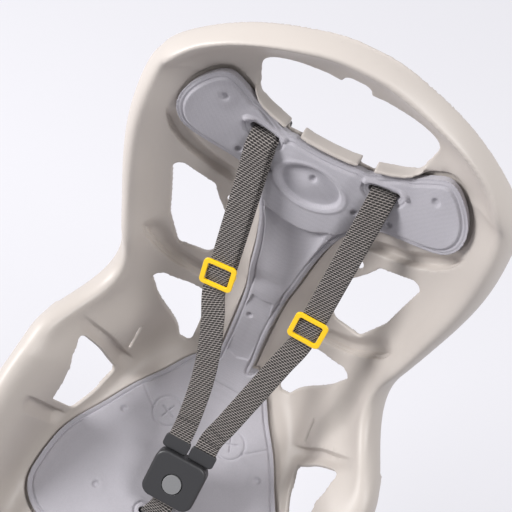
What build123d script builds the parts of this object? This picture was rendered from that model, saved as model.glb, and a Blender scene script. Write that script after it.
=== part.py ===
"""Rear child bike seat: moulded bucket, pad, three-point harness, leg guards, foot rests, bow and frame block."""

import math
import os

from build123d import *

# Driving dimensions, millimetres and degrees
recline = 15.0
tube_lean = 17.0
junction_behind_tube = 370.0
junction_above_clamp = 190.0

wall = 4.0
pad_thickness = 8.0
pad_seating = 0.3

fan_height = 165.0
fan_ahead = 160.0
corner_softness = 19.0
section_points = 49
arch_points = 17

head_joint = 386.0
hole_lower = 360.0
hole_foot_half = 80.0
lip_height = 3.0
lip_notch = 15.0
lip_notch_at = 36.5
lip_notch_foot = 354.5
arch_notch = 27.0
arch_notch_depth = 8.0

strap_width = 25.0
strap_thickness = 1.5
strap_slot_at = 61.0
strap_slot_height = 344.5
slot_margin = 3.0
slot_height = 7.0

adjuster_width = 36.0
adjuster_length = 30.0
adjuster_bar = 4.5
adjuster_depth = 3.0
adjuster_play = 0.4
adjuster_places = {"left": (-48, 190, 40), "right": (58, 188, 48)}
strap_play = 0.35
strap_pocket = 9.0
anchor_front = -15.0
anchor_width = 34.0
anchor_height = 13.0
anchor_depth = 12.0

buckle_place = (6, -152, 37)
buckle_rise = 36.0
buckle_width = 60.0
buckle_length = 54.0
buckle_depth = 20.0
button_radius = 11.0
button_play = 0.3
button_low = 4.0
button_pocket = 8.0
button_travel = 3.0
button_stand = 1.5
tongue_at = 15.5
tongue_width = 29.5
tongue_head = 15.0
tongue_thickness = 6.0
blade_width = 20.0
blade_thickness = 2.4
blade_depth = 14.0

guard_inner = 70.0
guard_outer = 160.0
guard_wall = 3.5
channel_corner = 14.0
channel_points = 41
flange_reach = 76.0
flange_sunk = 0.6
guard_screw_across = 105.0
guard_screws_ahead = (185.0, 225.0)
screw_clearance = 2.8
screw_head_radius = 5.0
screw_head_height = 3.0
piece_gap = 0.2
guard_back = 165.0
guard_top = 26.0
guard_bottom = 330.0
guard_inner_reach = 46.0
guard_outer_reach = 86.0
guard_slot_width = 18.0
guard_slot_top = 175.0
guard_slot_bottom = 318.0
boss_radius = 7.0
guard_screw_radius = 2.5
guard_screw_depth = 12.0
crotch_slot_ahead = 190.0

sole_length = 165.0
sole_width = 74.0
sole_corner = 16.0
neck_height = 24.0
neck_corner = 3.0
retainer_depth = 3.0
foot_button_radius = 5.5
foot_button_pocket = 9.0
foot_button_travel = 3.0
foot_strap_width = 20.0
foot_strap_rise = 62.0
sole_thickness = 4.0
sole_rim = 12.0
heel_height = 46.0
foot_level = 305.0
foot_travel = 110.0
running_gap = 0.4

tube_radius = 17.0
jaw_height = 72.0
jaw_half_width = 58.0
jaw_split = 6.0
rear_jaw_depth = 62.0
front_jaw_depth = 30.0
front_jaw_half_width = 40.0
bow_radius = 6.0
bow_half = 40.0
socket_behind = 45.0
socket_play = 0.15
jaw_bolt_radius = 3.0
jaw_bolt_at = 26.0
jaw_bolt_level = 19.0
jaw_bolt_bite = 24.0
jaw_corner = 8.0
bow_rail_drop = 32.0
bow_bend = 30.0
prong_below = 30.0
prong_above = 81.0
rail_starts = 215.0
rail_ends = 40.0
cradle_front = 150.0
cradle_back = 72.0
cradle_gap = 1.6
cradle_half = 56.0
cradle_bolt_at = 20.0
cradle_bolt_edge = 16.0
cradle_bolt_radius = 3.0
bolt_head_radius = 5.0
bolt_head_height = 5.0
plate_thickness = 12.0
nut_flange = 1.5
nut_flange_radius = 8.5
nut_barrel_radius = 4.4
nut_length = 10.0
release_width = 26.0
release_height = 18.0
release_pocket = 18.0
release_travel = 5.0
release_stand = 8.0

# Frames: X to the right, the seat faces -Y, the junction of seat and back is the seat's own origin
junction = Vector(0, junction_behind_tube, junction_above_clamp)
sin_recline = math.sin(math.radians(recline))
cos_recline = math.cos(math.radians(recline))
up_back = Vector(0, sin_recline, cos_recline)
off_back = Vector(0, -cos_recline, sin_recline)
back_plane = Plane(origin=junction, x_dir=(1, 0, 0), z_dir=off_back)
seat_plane = Plane(origin=junction, x_dir=(1, 0, 0), z_dir=(0, 0, 1))
side_plane = Plane(origin=junction, x_dir=(0, 1, 0), z_dir=(1, 0, 0))
tube_axis = Vector(0, math.sin(math.radians(tube_lean)), math.cos(math.radians(tube_lean)))
tube_plane = Plane(origin=(0, 0, 0), x_dir=(1, 0, 0), z_dir=tube_axis)
sides = {"left": -1, "right": 1}


def on_back(a, b, c):
    return back_plane.from_local_coords(Vector(a, b, c))


def on_seat(x, y, z):
    return seat_plane.from_local_coords(Vector(x, y, z))


# Skins: smooth faces through open curves, and the layer between two of them
def skin(edges):
    return Shell.make_loft([Wire([edge]) for edge in edges]).faces()[0]


def layer(front, back):
    """The solid between two faces with matching edges, closed by ruled faces."""
    faces = [front, back]
    for edge in front.edges():
        faces.append(Face.make_surface_from_curves(edge, back.edges().sort_by_distance(edge.center())[0]))
    return Solid(Shell(faces))


def evenly(points, count):
    """Points at even steps along the smooth curve through a profile, each with its normal to the left."""
    curve = Edge.make_spline([Vector(*point) for point in points])
    result = []
    for i in range(count):
        tangent = curve.tangent_at(i / (count - 1))
        result.append((curve.position_at(i / (count - 1)), Vector(-tangent.Y, tangent.X)))
    return result


def profile_edge(plane, points, count, amount):
    """The curve through a profile on a plane, moved along its normal by an amount."""
    steps = [i / (count - 1) for i in range(count)]
    moved = [plane.from_local_coords(place + normal * amount) for place, normal in evenly(points, count)]
    return Edge.make_spline(moved, parameters=steps)


# Bucket sections
class Section:
    """One cross-section of the bucket: its plane and its half profile, spine first and rim last."""

    def __init__(self, plane, spine, plate, flat, ridge, rim, bowl):
        self.plane = plane
        self.spine_half, self.spine_level = spine
        self.plate = plate
        self.flat = flat
        self.ridge = ridge
        self.rim = rim
        self.bowl = bowl

    def rise(self, share):
        """Height share of the side wall at a width share, bowl-shaped on the back and flared on the seat."""
        return self.bowl * share**1.65 + (1 - self.bowl) * (1 - (1 - share) ** 1.75)

    def half_profile(self):
        ridge_x, ridge_level = self.ridge
        rim_x, rim_level = self.rim
        drop = self.spine_level - self.plate
        points = [(0, self.spine_level), (0.7 * self.spine_half, self.spine_level)]
        if drop > spine_fades:
            points.append((self.spine_half + 2, self.spine_level - 0.15 * drop))
            points.append((self.spine_half + 4 + 0.85 * drop, self.plate + 0.15 * drop))
        else:
            points.append((0.5 * (0.7 * self.spine_half + self.flat), 0.5 * (self.spine_level + self.plate)))
            points.append((0.88 * self.flat, self.plate))
        points.append((self.flat, self.plate))
        for share in (0.5, 0.84):
            x = self.flat + share * (ridge_x - self.flat)
            points.append((x, self.plate + self.rise(share) * (ridge_level - self.plate)))
        points.append((ridge_x, ridge_level))
        points.append((ridge_x + 0.62 * (rim_x - ridge_x), ridge_level + 0.28 * (rim_level - ridge_level)))
        points.append((rim_x, rim_level))
        return points

    def profile(self):
        right = self.half_profile()
        return [(-x, level) for x, level in reversed(right[1:])] + right


def back_station(height):
    return Plane(origin=on_back(0, height, 0), x_dir=(1, 0, 0), z_dir=-up_back)


def seat_station(ahead):
    return Plane(origin=on_seat(0, -ahead, 0), x_dir=(1, 0, 0), z_dir=(0, -1, 0))


fan_level = (fan_height + sin_recline * fan_ahead) / cos_recline
fan_depth = fan_ahead * cos_recline + fan_level * sin_recline


def fan_station(turn):
    """A plane through the fan's pivot, turned from the back towards the seat, with its zero on the soft corner."""
    lean = math.radians(recline + turn)
    to_back = fan_depth / math.cos(math.radians(turn))
    to_seat = fan_level / math.sin(lean)
    blend = math.exp(-to_back / corner_softness) + math.exp(-to_seat / corner_softness)
    outwards = Vector(0, math.cos(lean), -math.sin(lean))
    origin = on_seat(0, -fan_ahead, fan_level) - outwards * corner_softness * math.log(blend)
    return Plane(origin=origin, x_dir=(1, 0, 0), z_dir=(0, -math.sin(lean), -math.cos(lean)))


spine_fades = 5.0
# Each row: plane, spine (half width, level), plate level, flat half width, ridge, rim, bowl share
shell_face = -pad_thickness
sections = [
    Section(back_station(head_joint), (40, shell_face), -8, 62, (161, 33), (173, 5), 1),
    Section(back_station(352), (44, shell_face), -9, 62, (170, 34), (184, 6), 1),
    Section(back_station(314), (44, shell_face), -12, 62, (173, 35), (188, 6), 1),
    Section(back_station(276), (40, shell_face), -19, 62, (172, 35), (187, 6), 1),
    Section(back_station(238), (34, shell_face), -24, 62, (167, 36), (182, 6), 1),
    Section(back_station(200), (30, shell_face), -25, 60, (160, 38), (175, 7), 1),
    Section(fan_station(0), (27, shell_face), -25, 58, (152, 41), (167, 10), 1),
    Section(fan_station(13), (24, shell_face), -25, 58, (151, 49), (166, 21), 0.88),
    Section(fan_station(25), (24, shell_face), -25, 61, (165, 88), (181, 62), 0.65),
    Section(fan_station(36), (25, shell_face), -17, 71, (181, 137), (197, 114), 0.34),
    Section(fan_station(46), (34, shell_face), -8, 91, (186, 138), (203, 117), 0.11),
    Section(fan_station(56), (40, shell_face), -8, 105, (188, 124), (204, 104), 0),
    Section(fan_station(66), (40, shell_face), -8, 119, (190, 114), (205, 94), 0),
    Section(seat_station(fan_ahead), (40, shell_face), -8, 132, (190, 108), (206, 88), 0),
    Section(seat_station(196), (40, shell_face), -8, 138, (190, 93), (205, 73), 0),
    Section(seat_station(230), (40, shell_face), -8, 140, (187, 73), (201, 53), 0),
    Section(seat_station(258), (40, shell_face - 2), -10, 138, (181, 48), (194, 30), 0),
    Section(seat_station(276), (40, shell_face - 12), -20, 132, (173, 13), (185, -4), 0),
]


def section_edge(section, amount):
    return profile_edge(section.plane, section.profile(), section_points, amount)


def bucket_skin(amount):
    return skin([section_edge(section, amount) for section in sections])


def bucket_layer(front, back):
    return layer(bucket_skin(front), bucket_skin(back))


# Head arch: radial sections round the helmet hole, from the hole's edge to the rim
# Each row: angle, hole edge (radius, level), ridge (radius, level), rim (radius, level)
arch_quarter = [
    (11, (85, -3), (140, 33), (151, 5)),
    (22, (85, 0), (118, 31), (129, 4)),
    (38, (68, 3), (94, 28), (106, 2)),
    (56, (55, 5), (80, 26), (91, 0)),
    (74, (48, 6), (74, 25), (84, -1)),
    (90, (46, 6), (72, 25), (82, -1)),
]
arch_rows = arch_quarter + [(180 - angle, *row) for angle, *row in reversed(arch_quarter[:-1])]


def arch_profile(edge, ridge, rim):
    span = ridge[0] - edge[0]
    lift = ridge[1] - edge[1]
    points = [edge]
    for share in (0.46, 0.82):
        points.append((edge[0] + share * span, edge[1] + share**1.5 * lift))
    points.append(ridge)
    points.append((ridge[0] + 0.62 * (rim[0] - ridge[0]), ridge[1] + 0.28 * (rim[1] - ridge[1])))
    points.append(rim)
    return points


def arch_edge(angle, edge, ridge, rim, amount):
    turn = math.radians(angle)
    along = Vector(math.cos(turn), 0, 0) + up_back * math.sin(turn)
    plane = Plane(origin=on_back(0, head_joint, 0), x_dir=along, z_dir=along.cross(off_back))
    return profile_edge(plane, arch_profile(edge, ridge, rim), arch_points, amount)


def arch_foot(amount):
    """The stretch of the top bucket section, from the hole's edge to the rim, that the arch grows from."""
    top = section_edge(sections[0], amount)
    low, high = 0.5, 1.0
    while high - low > 1e-9:
        middle = (low + high) / 2
        if top.position_at(middle).X < hole_foot_half:
            low = middle
        else:
            high = middle
    return top.trim(low, 1.0)


def arch_skin(amount):
    foot = arch_foot(amount)
    return skin([foot] + [arch_edge(*row, amount) for row in arch_rows] + [foot.mirror(Plane.YZ)])


# Outlines on the back plane: (across, up)
def window(points, radius):
    """A rounded window and its mirror image, in the current sketch."""
    with BuildLine() as outline:
        FilletPolyline(*points, radius=radius, close=True)
    mirror(make_face(outline.edges()), about=Plane.YZ)


upper_window = [(74, 146), (110, 161), (126, 200), (137, 268), (126, 268), (94, 247), (86, 228), (74, 208)]
lower_window = [(61, 2), (76, 7), (103, 70), (124, 114), (112, 115), (67, 85), (61, 66)]
side_window = [(-64, 4), (-80, 100), (-105, 92), (-144, 50), (-130, 3)]
hole_boss = (72, 231)
hole_boss_radius = 7.0
hip_slit = ((-24, 51), (-40, 25))
hip_slit_width = 5.0
cut_behind = 70.0
cut_ahead = 105.0
cut_sideways = 230.0


os.makedirs("parts", exist_ok=True)


def finish(part, name):
    part.label = name
    export_step(part, f"parts/{name}.step")


hole_drop = head_joint - hole_lower
hole_centre = (0, head_joint)
lip_notches = [(side * lip_notch_at, (lip_notch_foot + head_joint) / 2) for side in (-1, 1)]
lip_notch_height = head_joint - lip_notch_foot
guard_screws = [(side * guard_screw_across, -ahead) for side in (-1, 1) for ahead in guard_screws_ahead]
cradle_middle = (0, -(cradle_front + cradle_back) / 2)
cradle_length = cradle_front - cradle_back
cradle_bolt_rows = (cradle_back + cradle_bolt_edge, cradle_front - cradle_bolt_edge)
cradle_bolts = [(side * cradle_bolt_at, -ahead) for side in (-1, 1) for ahead in cradle_bolt_rows]

with BuildPart() as shell:
    add(bucket_layer(0, -wall))
    add(layer(arch_skin(0), arch_skin(-wall)))
    # Lower edge of the helmet hole, with its standing lip in three lengths
    with BuildSketch(back_plane.offset(-cut_behind)):
        with Locations(hole_centre):
            Ellipse(hole_foot_half, hole_drop)
        with Locations(*lip_notches):
            Rectangle(lip_notch, lip_notch_height)
    extrude(amount=cut_behind + 35, mode=Mode.SUBTRACT)
    with BuildSketch(back_plane.offset(shell_face - wall)):
        with Locations(hole_centre):
            Ellipse(hole_foot_half + wall, hole_drop + wall)
            Ellipse(hole_foot_half, hole_drop, mode=Mode.SUBTRACT)
        with Locations((0, hole_lower)):
            Rectangle(2 * (hole_foot_half + wall), 2 * hole_drop, mode=Mode.INTERSECT)
        with Locations(*lip_notches):
            Rectangle(lip_notch, lip_notch_height, mode=Mode.SUBTRACT)
    extrude(amount=wall - shell_face + lip_height)
    # Notch in the arch, windows, strap slots and pad hole
    with BuildSketch(back_plane.offset(-cut_behind)):
        with Locations((0, head_joint + arch_quarter[-1][1][0])):
            SlotOverall(arch_notch, 2 * arch_notch_depth)
        window(upper_window, 7)
    extrude(amount=cut_behind + cut_ahead, mode=Mode.SUBTRACT)
    with BuildSketch(back_plane.offset(-cut_behind)):
        window(lower_window, 5)
        with Locations(hole_boss, (-hole_boss[0], hole_boss[1])):
            Circle(hole_boss_radius)
        with Locations((strap_slot_at, strap_slot_height), (-strap_slot_at, strap_slot_height)):
            SlotOverall(strap_width + 2 * slot_margin, slot_height)
    extrude(amount=cut_behind + 35, mode=Mode.SUBTRACT)
    with BuildSketch(side_plane):
        with BuildLine():
            FilletPolyline(*side_window, radius=7, close=True)
        make_face()
        with BuildLine():
            offset(Line(*hip_slit), amount=hip_slit_width / 2)
        make_face()
    extrude(amount=cut_sideways, both=True, mode=Mode.SUBTRACT)
    # Screw bosses for the leg guards and slot for the crotch strap
    with BuildSketch(seat_plane.offset(-guard_top)):
        with Locations(*guard_screws):
            Circle(boss_radius)
    extrude(amount=guard_top + shell_face - 0.5 * wall)
    with BuildSketch(seat_plane.offset(-guard_top)):
        with Locations(*guard_screws):
            Circle(guard_screw_radius)
    extrude(amount=guard_screw_depth, mode=Mode.SUBTRACT)
    with BuildSketch(seat_plane.offset(-guard_top)):
        with Locations((0, -crotch_slot_ahead)):
            SlotOverall(strap_width + 2 * slot_margin, slot_height)
        with Locations(*cradle_bolts):
            Circle(nut_barrel_radius + piece_gap)
    extrude(amount=guard_top + pad_thickness, mode=Mode.SUBTRACT)
    with BuildSketch(seat_plane.offset(shell_face - nut_flange - piece_gap)):
        with Locations(*cradle_bolts):
            Circle(nut_flange_radius + piece_gap)
    extrude(amount=pad_thickness, mode=Mode.SUBTRACT)

finish(shell.part, "bucket_shell")

# Pad: one thermoformed piece of head wings, spine and seat
head_outline = [
    (22, -4), (21, 60), (23, 150), (27, 182), (33, 225), (42, 262), (60, 288), (80, 299), (112, 313),
    (134, 327), (142, 350), (128, 381), (106, 394), (90, 383), (68, 366), (46, 357.5), (29, 354), (0, 351.5),
]
seat_outline = [
    (14, 20), (26, 14), (52, -6), (68, -32), (90, -64), (112, -106), (134, -150), (140, -190), (136, -222),
    (112, -244), (60, -250), (0, -250),
]


def half_outline(points):
    """The face inside a smooth half outline and its mirror image, in the current sketch."""
    with BuildLine() as outline:
        Spline(*points)
        Polyline(points[-1], (0, points[0][1]), points[0])
    mirror(make_face(outline.edges()), about=Plane.YZ)


with BuildPart() as pad_blank:
    add(bucket_layer(pad_thickness, pad_seating))
    add(layer(arch_skin(pad_thickness), arch_skin(pad_seating)))

with BuildPart() as pad_cutter:
    with BuildSketch(back_plane.offset(-cut_behind)):
        half_outline(head_outline)
    extrude(amount=cut_behind + 60)
    with BuildSketch(seat_plane.offset(-40)):
        half_outline(seat_outline)
    extrude(amount=60)

with BuildPart() as pad:
    add(pad_blank.part)
    add(pad_cutter.part, mode=Mode.INTERSECT)
    with BuildSketch(back_plane.offset(-cut_behind)):
        with Locations((strap_slot_at, strap_slot_height), (-strap_slot_at, strap_slot_height)):
            SlotOverall(strap_width + 2 * slot_margin, slot_height)
    extrude(amount=cut_behind + 60, mode=Mode.SUBTRACT)
    with BuildSketch(seat_plane.offset(-guard_top)):
        with Locations((0, -crotch_slot_ahead)):
            SlotOverall(strap_width + 2 * slot_margin, slot_height)
    extrude(amount=guard_top + 2 * pad_thickness, mode=Mode.SUBTRACT)

finish(pad.part, "seat_pad")


# Webbing: flat straps along a smooth path
def ribbon(points, width, thickness, count, across):
    """A flat strap through the points, its width as near as can be to one direction."""
    path = Edge.make_spline([Vector(*point) for point in points])
    stations = []
    for i in range(count):
        ahead = path.tangent_at(i / (count - 1))
        wide = (across - ahead * across.dot(ahead)).normalized()
        stations.append((path.position_at(i / (count - 1)), wide, wide.cross(ahead)))

    def edges(amount):
        half = width / 2
        return [Edge.make_line(at + out * amount - wide * half, at + out * amount + wide * half)
                for at, wide, out in stations]

    return layer(skin(edges(thickness / 2)), skin(edges(-thickness / 2)))


right_way = Vector(1, 0, 0)
buckle_turn = math.radians(buckle_rise)
buckle_up = Vector(0, math.cos(buckle_turn), math.sin(buckle_turn))
buckle_out = Vector(0, -math.sin(buckle_turn), math.cos(buckle_turn))
buckle_plane = Plane(origin=on_seat(*buckle_place), x_dir=(1, 0, 0), z_dir=buckle_out)
pocket_width = strap_width + 2 * strap_play
pocket_height = strap_thickness + 3 * strap_play
tongue_top = buckle_length / 2 + tongue_head


def in_buckle(x, y, z):
    return buckle_plane.from_local_coords(Vector(x, y, z))


# Shoulder straps: through the slot, straight down to the adjuster, then across to the tongue
adjuster_planes = {}
for name, side in sides.items():
    place = on_back(*adjuster_places[name])
    over = on_back(side * strap_slot_at, strap_slot_height - 8, 8)
    tongue = in_buckle(side * tongue_at, tongue_top, 0)
    fall = (place - over).normalized()
    straight = (place - over).length
    points = [on_back(side * strap_slot_at, strap_slot_height, anchor_front - strap_pocket + strap_play)]
    points.append(on_back(side * strap_slot_at, strap_slot_height, anchor_front - strap_pocket / 2))
    points.append(on_back(side * strap_slot_at, strap_slot_height, anchor_front))
    points.append(on_back(side * strap_slot_at, strap_slot_height, shell_face))
    points.append(on_back(side * strap_slot_at, strap_slot_height - 2, 3))
    points.append(over)
    points += [over + fall * straight * share for share in (0.2, 0.4, 0.6, 0.8)]
    points.append(place)
    below = place + fall * 0.6 * adjuster_length
    entry = tongue + buckle_up * 0.6 * tongue_head
    points.append(below)
    points += [below + (entry - below) * share for share in (0.2, 0.4, 0.6, 0.8)]
    points.append(entry)
    points.append(tongue)
    points.append(tongue - buckle_up * strap_pocket / 2)
    points.append(tongue - buckle_up * (strap_pocket - strap_play))
    with BuildPart() as strap:
        add(ribbon(points, strap_width, strap_thickness, 65, right_way))
    finish(strap.part, f"shoulder_strap_{name}")
    wide = (right_way - fall * right_way.dot(fall)).normalized()
    adjuster_planes[name] = Plane(origin=place, x_dir=wide, z_dir=fall.cross(wide))

for name, plane in adjuster_planes.items():
    level = strap_thickness / 2 + adjuster_play
    side_bar = (adjuster_width - strap_width) / 2 - adjuster_play
    inner_width = adjuster_width - 2 * side_bar
    with BuildPart() as adjuster:
        with BuildSketch(plane.offset(level)):
            RectangleRounded(adjuster_width, adjuster_length, 5)
            RectangleRounded(inner_width, adjuster_length - 2 * adjuster_bar, 2, mode=Mode.SUBTRACT)
        extrude(amount=adjuster_depth)
        with BuildSketch(plane.offset(-level)):
            Rectangle(adjuster_width, adjuster_bar)
        extrude(amount=-adjuster_depth)
        with BuildSketch(plane.offset(-level)):
            with GridLocations(adjuster_width - side_bar, 0, 2, 1):
                Rectangle(side_bar, adjuster_bar)
        extrude(amount=2 * level + 0.5 * adjuster_depth)
    finish(adjuster.part, f"strap_adjuster_{name}")

# Strap anchors behind the shell and under it
anchor_planes = [back_plane.offset(anchor_front) * Pos(side * strap_slot_at, strap_slot_height) for side in (-1, 1)]
anchor_planes.append(seat_plane.offset(shell_face - wall - strap_play) * Pos(0, -crotch_slot_ahead))
with BuildPart() as anchors:
    for plane in anchor_planes:
        with BuildSketch(plane):
            RectangleRounded(anchor_width, anchor_height, 3)
        extrude(amount=-anchor_depth)
        with BuildSketch(plane):
            Rectangle(pocket_width, pocket_height)
        extrude(amount=-strap_pocket, mode=Mode.SUBTRACT)
finish(anchors.part, "strap_anchors")

# Buckle: housing, push button, two tongues and the crotch strap
with BuildPart() as buckle:
    with BuildSketch(buckle_plane):
        RectangleRounded(buckle_width, buckle_length, 12)
    extrude(amount=buckle_depth / 2, both=True)
    fillet(buckle.faces().sort_by(Axis((0, 0, 0), buckle_out))[0].edges(), 3)
    fillet(buckle.faces().sort_by(Axis((0, 0, 0), buckle_out))[-1].edges(), 3)
    with BuildSketch(buckle_plane.offset(buckle_depth / 2)):
        with Locations((0, -button_low)):
            Circle(button_radius + button_play)
    extrude(amount=-button_pocket, mode=Mode.SUBTRACT)
    blade_plane = Plane(origin=in_buckle(0, buckle_length / 2, 0), x_dir=(1, 0, 0), z_dir=-buckle_up)
    with BuildSketch(blade_plane):
        with GridLocations(2 * tongue_at, 0, 2, 1):
            Rectangle(blade_width + 2 * strap_play, blade_thickness + 2 * strap_play)
    extrude(amount=blade_depth + strap_play, mode=Mode.SUBTRACT)
    strap_mouth = Plane(origin=in_buckle(0, -buckle_length / 2, 0), x_dir=(1, 0, 0), z_dir=buckle_up)
    with BuildSketch(strap_mouth):
        Rectangle(pocket_width, pocket_height)
    extrude(amount=strap_pocket, mode=Mode.SUBTRACT)
finish(buckle.part, "buckle_body")

with BuildPart() as button:
    with BuildSketch(buckle_plane.offset(buckle_depth / 2 - button_pocket + button_travel + button_play)):
        with Locations((0, -button_low)):
            Circle(button_radius)
    extrude(amount=button_pocket - button_travel - button_play + button_stand)
    fillet(button.faces().sort_by(Axis((0, 0, 0), buckle_out))[-1].edges(), 1)
finish(button.part, "buckle_button")

for name, side in sides.items():
    with BuildPart() as tongue:
        with BuildSketch(buckle_plane):
            with Locations((side * tongue_at, buckle_length / 2 + tongue_head / 2 + strap_play)):
                RectangleRounded(tongue_width, tongue_head - 2 * strap_play, 4)
        extrude(amount=tongue_thickness / 2, both=True)
        with BuildSketch(buckle_plane):
            with Locations((side * tongue_at, buckle_length / 2 - blade_depth / 2 + 1)):
                Rectangle(blade_width, blade_depth + 2)
        extrude(amount=blade_thickness / 2, both=True)
        mouth = in_buckle(side * tongue_at, tongue_top, 0)
        with BuildSketch(Plane(origin=mouth, x_dir=(1, 0, 0), z_dir=-buckle_up)):
            Rectangle(pocket_width, pocket_height)
        extrude(amount=strap_pocket, mode=Mode.SUBTRACT)
    finish(tongue.part, f"buckle_tongue_{name}")

with BuildPart() as crotch:
    low = shell_face - wall - strap_play
    crotch_path = [
        in_buckle(0, strap_pocket - strap_play - buckle_length / 2, 0),
        in_buckle(0, strap_pocket / 2 - buckle_length / 2, 0),
        in_buckle(0, -buckle_length / 2, 0),
        in_buckle(0, -buckle_length / 2 - 5, 0),
        on_seat(0, -crotch_slot_ahead, 1),
        on_seat(0, -crotch_slot_ahead, low + wall),
        on_seat(0, -crotch_slot_ahead, low),
        on_seat(0, -crotch_slot_ahead, low - strap_pocket / 2),
        on_seat(0, -crotch_slot_ahead, low - strap_pocket + strap_play),
    ]
    add(ribbon(crotch_path, strap_width, strap_thickness, 33, right_way))
finish(crotch.part, "crotch_strap")


# Leg guards: open channels hung under the bucket, with a slot for the foot rest
def channel_wire(inner, outer, inner_reach, outer_reach, level):
    """The open channel profile at one level, from the inner wall's edge round to the outer wall's."""
    points = [(inner, -guard_back - inner_reach), (inner, -guard_back), (outer, -guard_back)]
    points.append((outer, -guard_back - outer_reach))
    with BuildLine(seat_plane.offset(-level)) as outline:
        FilletPolyline(*points, radius=channel_corner)
    return outline.wires()[0]


def channel_edge(rows, amount):
    wire = channel_wire(*rows)
    steps = [i / (channel_points - 1) for i in range(channel_points)]
    places = []
    for step in steps:
        out = wire.tangent_at(step).cross(Vector(0, 0, 1))
        places.append(wire.position_at(step) + out * amount)
    return Edge.make_spline(places, parameters=steps)


guard_rows = [
    (guard_inner, guard_outer, guard_inner_reach, guard_outer_reach, guard_top),
    (guard_inner + 1, guard_outer - 1, guard_inner_reach, guard_outer_reach - 4, guard_top + 76),
    (guard_inner + 2, guard_outer - 2, guard_inner_reach - 2, guard_outer_reach - 12, guard_top + 152),
    (guard_inner + 3, guard_outer - 3, guard_inner_reach - 6, guard_outer_reach - 20, guard_top + 228),
    (guard_inner + 4, guard_outer - 4, guard_inner_reach - 12, guard_outer_reach - 30, guard_bottom),
]
guard_middle = (guard_inner + guard_outer) / 2
slot_middle = (guard_slot_top + guard_slot_bottom) / 2
back_of_guard = Plane(origin=on_seat(0, -guard_back, 0), x_dir=(-1, 0, 0), z_dir=(0, 1, 0))

with BuildPart() as guard:
    add(layer(skin([channel_edge(row, 0) for row in guard_rows]),
              skin([channel_edge(row, -guard_wall) for row in guard_rows])))
    with BuildSketch(seat_plane.offset(-guard_top - flange_sunk)):
        with Locations((guard_middle, -guard_back - flange_reach / 2 + guard_wall / 2)):
            RectangleRounded(guard_outer - guard_inner + guard_wall, flange_reach, channel_corner + guard_wall / 2)
    extrude(amount=-guard_wall)
    with BuildSketch(seat_plane.offset(-guard_top)):
        with Locations(*[place for place in guard_screws if place[0] > 0]):
            Circle(screw_clearance)
    extrude(amount=-2 * guard_wall, mode=Mode.SUBTRACT)
    with BuildSketch(back_of_guard):
        with Locations((-guard_middle, -slot_middle)):
            RectangleRounded(guard_slot_width, guard_slot_bottom - guard_slot_top, neck_corner)
    extrude(amount=3 * guard_wall, both=True, mode=Mode.SUBTRACT)

screw_plane = seat_plane.offset(-guard_top - flange_sunk - guard_wall - piece_gap)
with BuildPart() as guard_screw_set:
    with BuildSketch(screw_plane):
        with Locations(*guard_screws):
            Circle(screw_head_radius)
    extrude(amount=-screw_head_height)
    with BuildSketch(screw_plane):
        with Locations(*guard_screws):
            Circle(guard_screw_radius - piece_gap)
    extrude(amount=flange_sunk + guard_wall + guard_screw_depth - piece_gap)
    with BuildSketch(screw_plane.offset(-screw_head_height)):
        with Locations(*guard_screws):
            RegularPolygon(0.45 * screw_head_radius, 6)
    extrude(amount=0.6 * screw_head_height, mode=Mode.SUBTRACT)
finish(guard_screw_set.part, "leg_guard_screws")

# Foot rests: a rimmed sole with a heel plate whose neck runs in the guard's slot
heel_front = -guard_back - running_gap - sole_thickness
heel_plane = Plane(origin=on_seat(0, heel_front, 0), x_dir=(-1, 0, 0), z_dir=(0, 1, 0))
rest_plane = seat_plane.offset(-foot_level)
rest_middle = (guard_middle, heel_front - sole_length / 2)
neck_back = -guard_back + guard_wall + running_gap
behind_guard = Plane(origin=on_seat(0, neck_back + retainer_depth, 0), x_dir=(-1, 0, 0), z_dir=(0, 1, 0))
neck_place = (-guard_middle, -foot_level)
strap_line = heel_front - 0.55 * sole_length
rim_line = sole_width / 2 - sole_thickness / 2

with BuildPart() as footrest:
    with BuildSketch(rest_plane.offset(-sole_thickness)):
        with Locations(rest_middle):
            RectangleRounded(sole_width, sole_length, sole_corner)
    extrude(amount=sole_thickness + sole_rim)
    with BuildSketch(rest_plane):
        with Locations(rest_middle):
            RectangleRounded(sole_width - 2 * sole_thickness, sole_length - 2 * sole_thickness,
                             sole_corner - sole_thickness)
    extrude(amount=sole_rim, mode=Mode.SUBTRACT)
    with BuildSketch(heel_plane):
        with Locations((-guard_middle, heel_height / 2 - foot_level - neck_height / 4)):
            RectangleRounded(sole_width - 2 * sole_corner + 2 * sole_thickness, heel_height + neck_height / 2, 6)
    extrude(amount=sole_thickness)
    with BuildSketch(heel_plane):
        with Locations(neck_place):
            RectangleRounded(guard_slot_width - 2 * running_gap, neck_height, neck_corner)
    extrude(amount=neck_back + retainer_depth - heel_front)
    with BuildSketch(behind_guard):
        with Locations(neck_place):
            RectangleRounded(guard_slot_width + 10, neck_height + 6, 4)
    extrude(amount=-retainer_depth)
    with BuildSketch(behind_guard):
        with Locations(neck_place):
            Circle(foot_button_radius + running_gap / 2)
    extrude(amount=-foot_button_pocket, mode=Mode.SUBTRACT)
    # Slots in the rims for the foot strap
    with BuildSketch(rest_plane):
        with Locations((guard_middle - rim_line, strap_line), (guard_middle + rim_line, strap_line)):
            Rectangle(strap_thickness + 2 * strap_play, foot_strap_width + 2 * strap_play)
    extrude(amount=sole_rim, mode=Mode.SUBTRACT)

with BuildPart() as foot_button:
    with BuildSketch(behind_guard.offset(foot_button_travel + running_gap - foot_button_pocket)):
        with Locations(neck_place):
            Circle(foot_button_radius)
    extrude(amount=foot_button_pocket - running_gap)
    fillet(foot_button.faces().sort_by(Axis.Y)[-1].edges(), 0.8)

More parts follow.
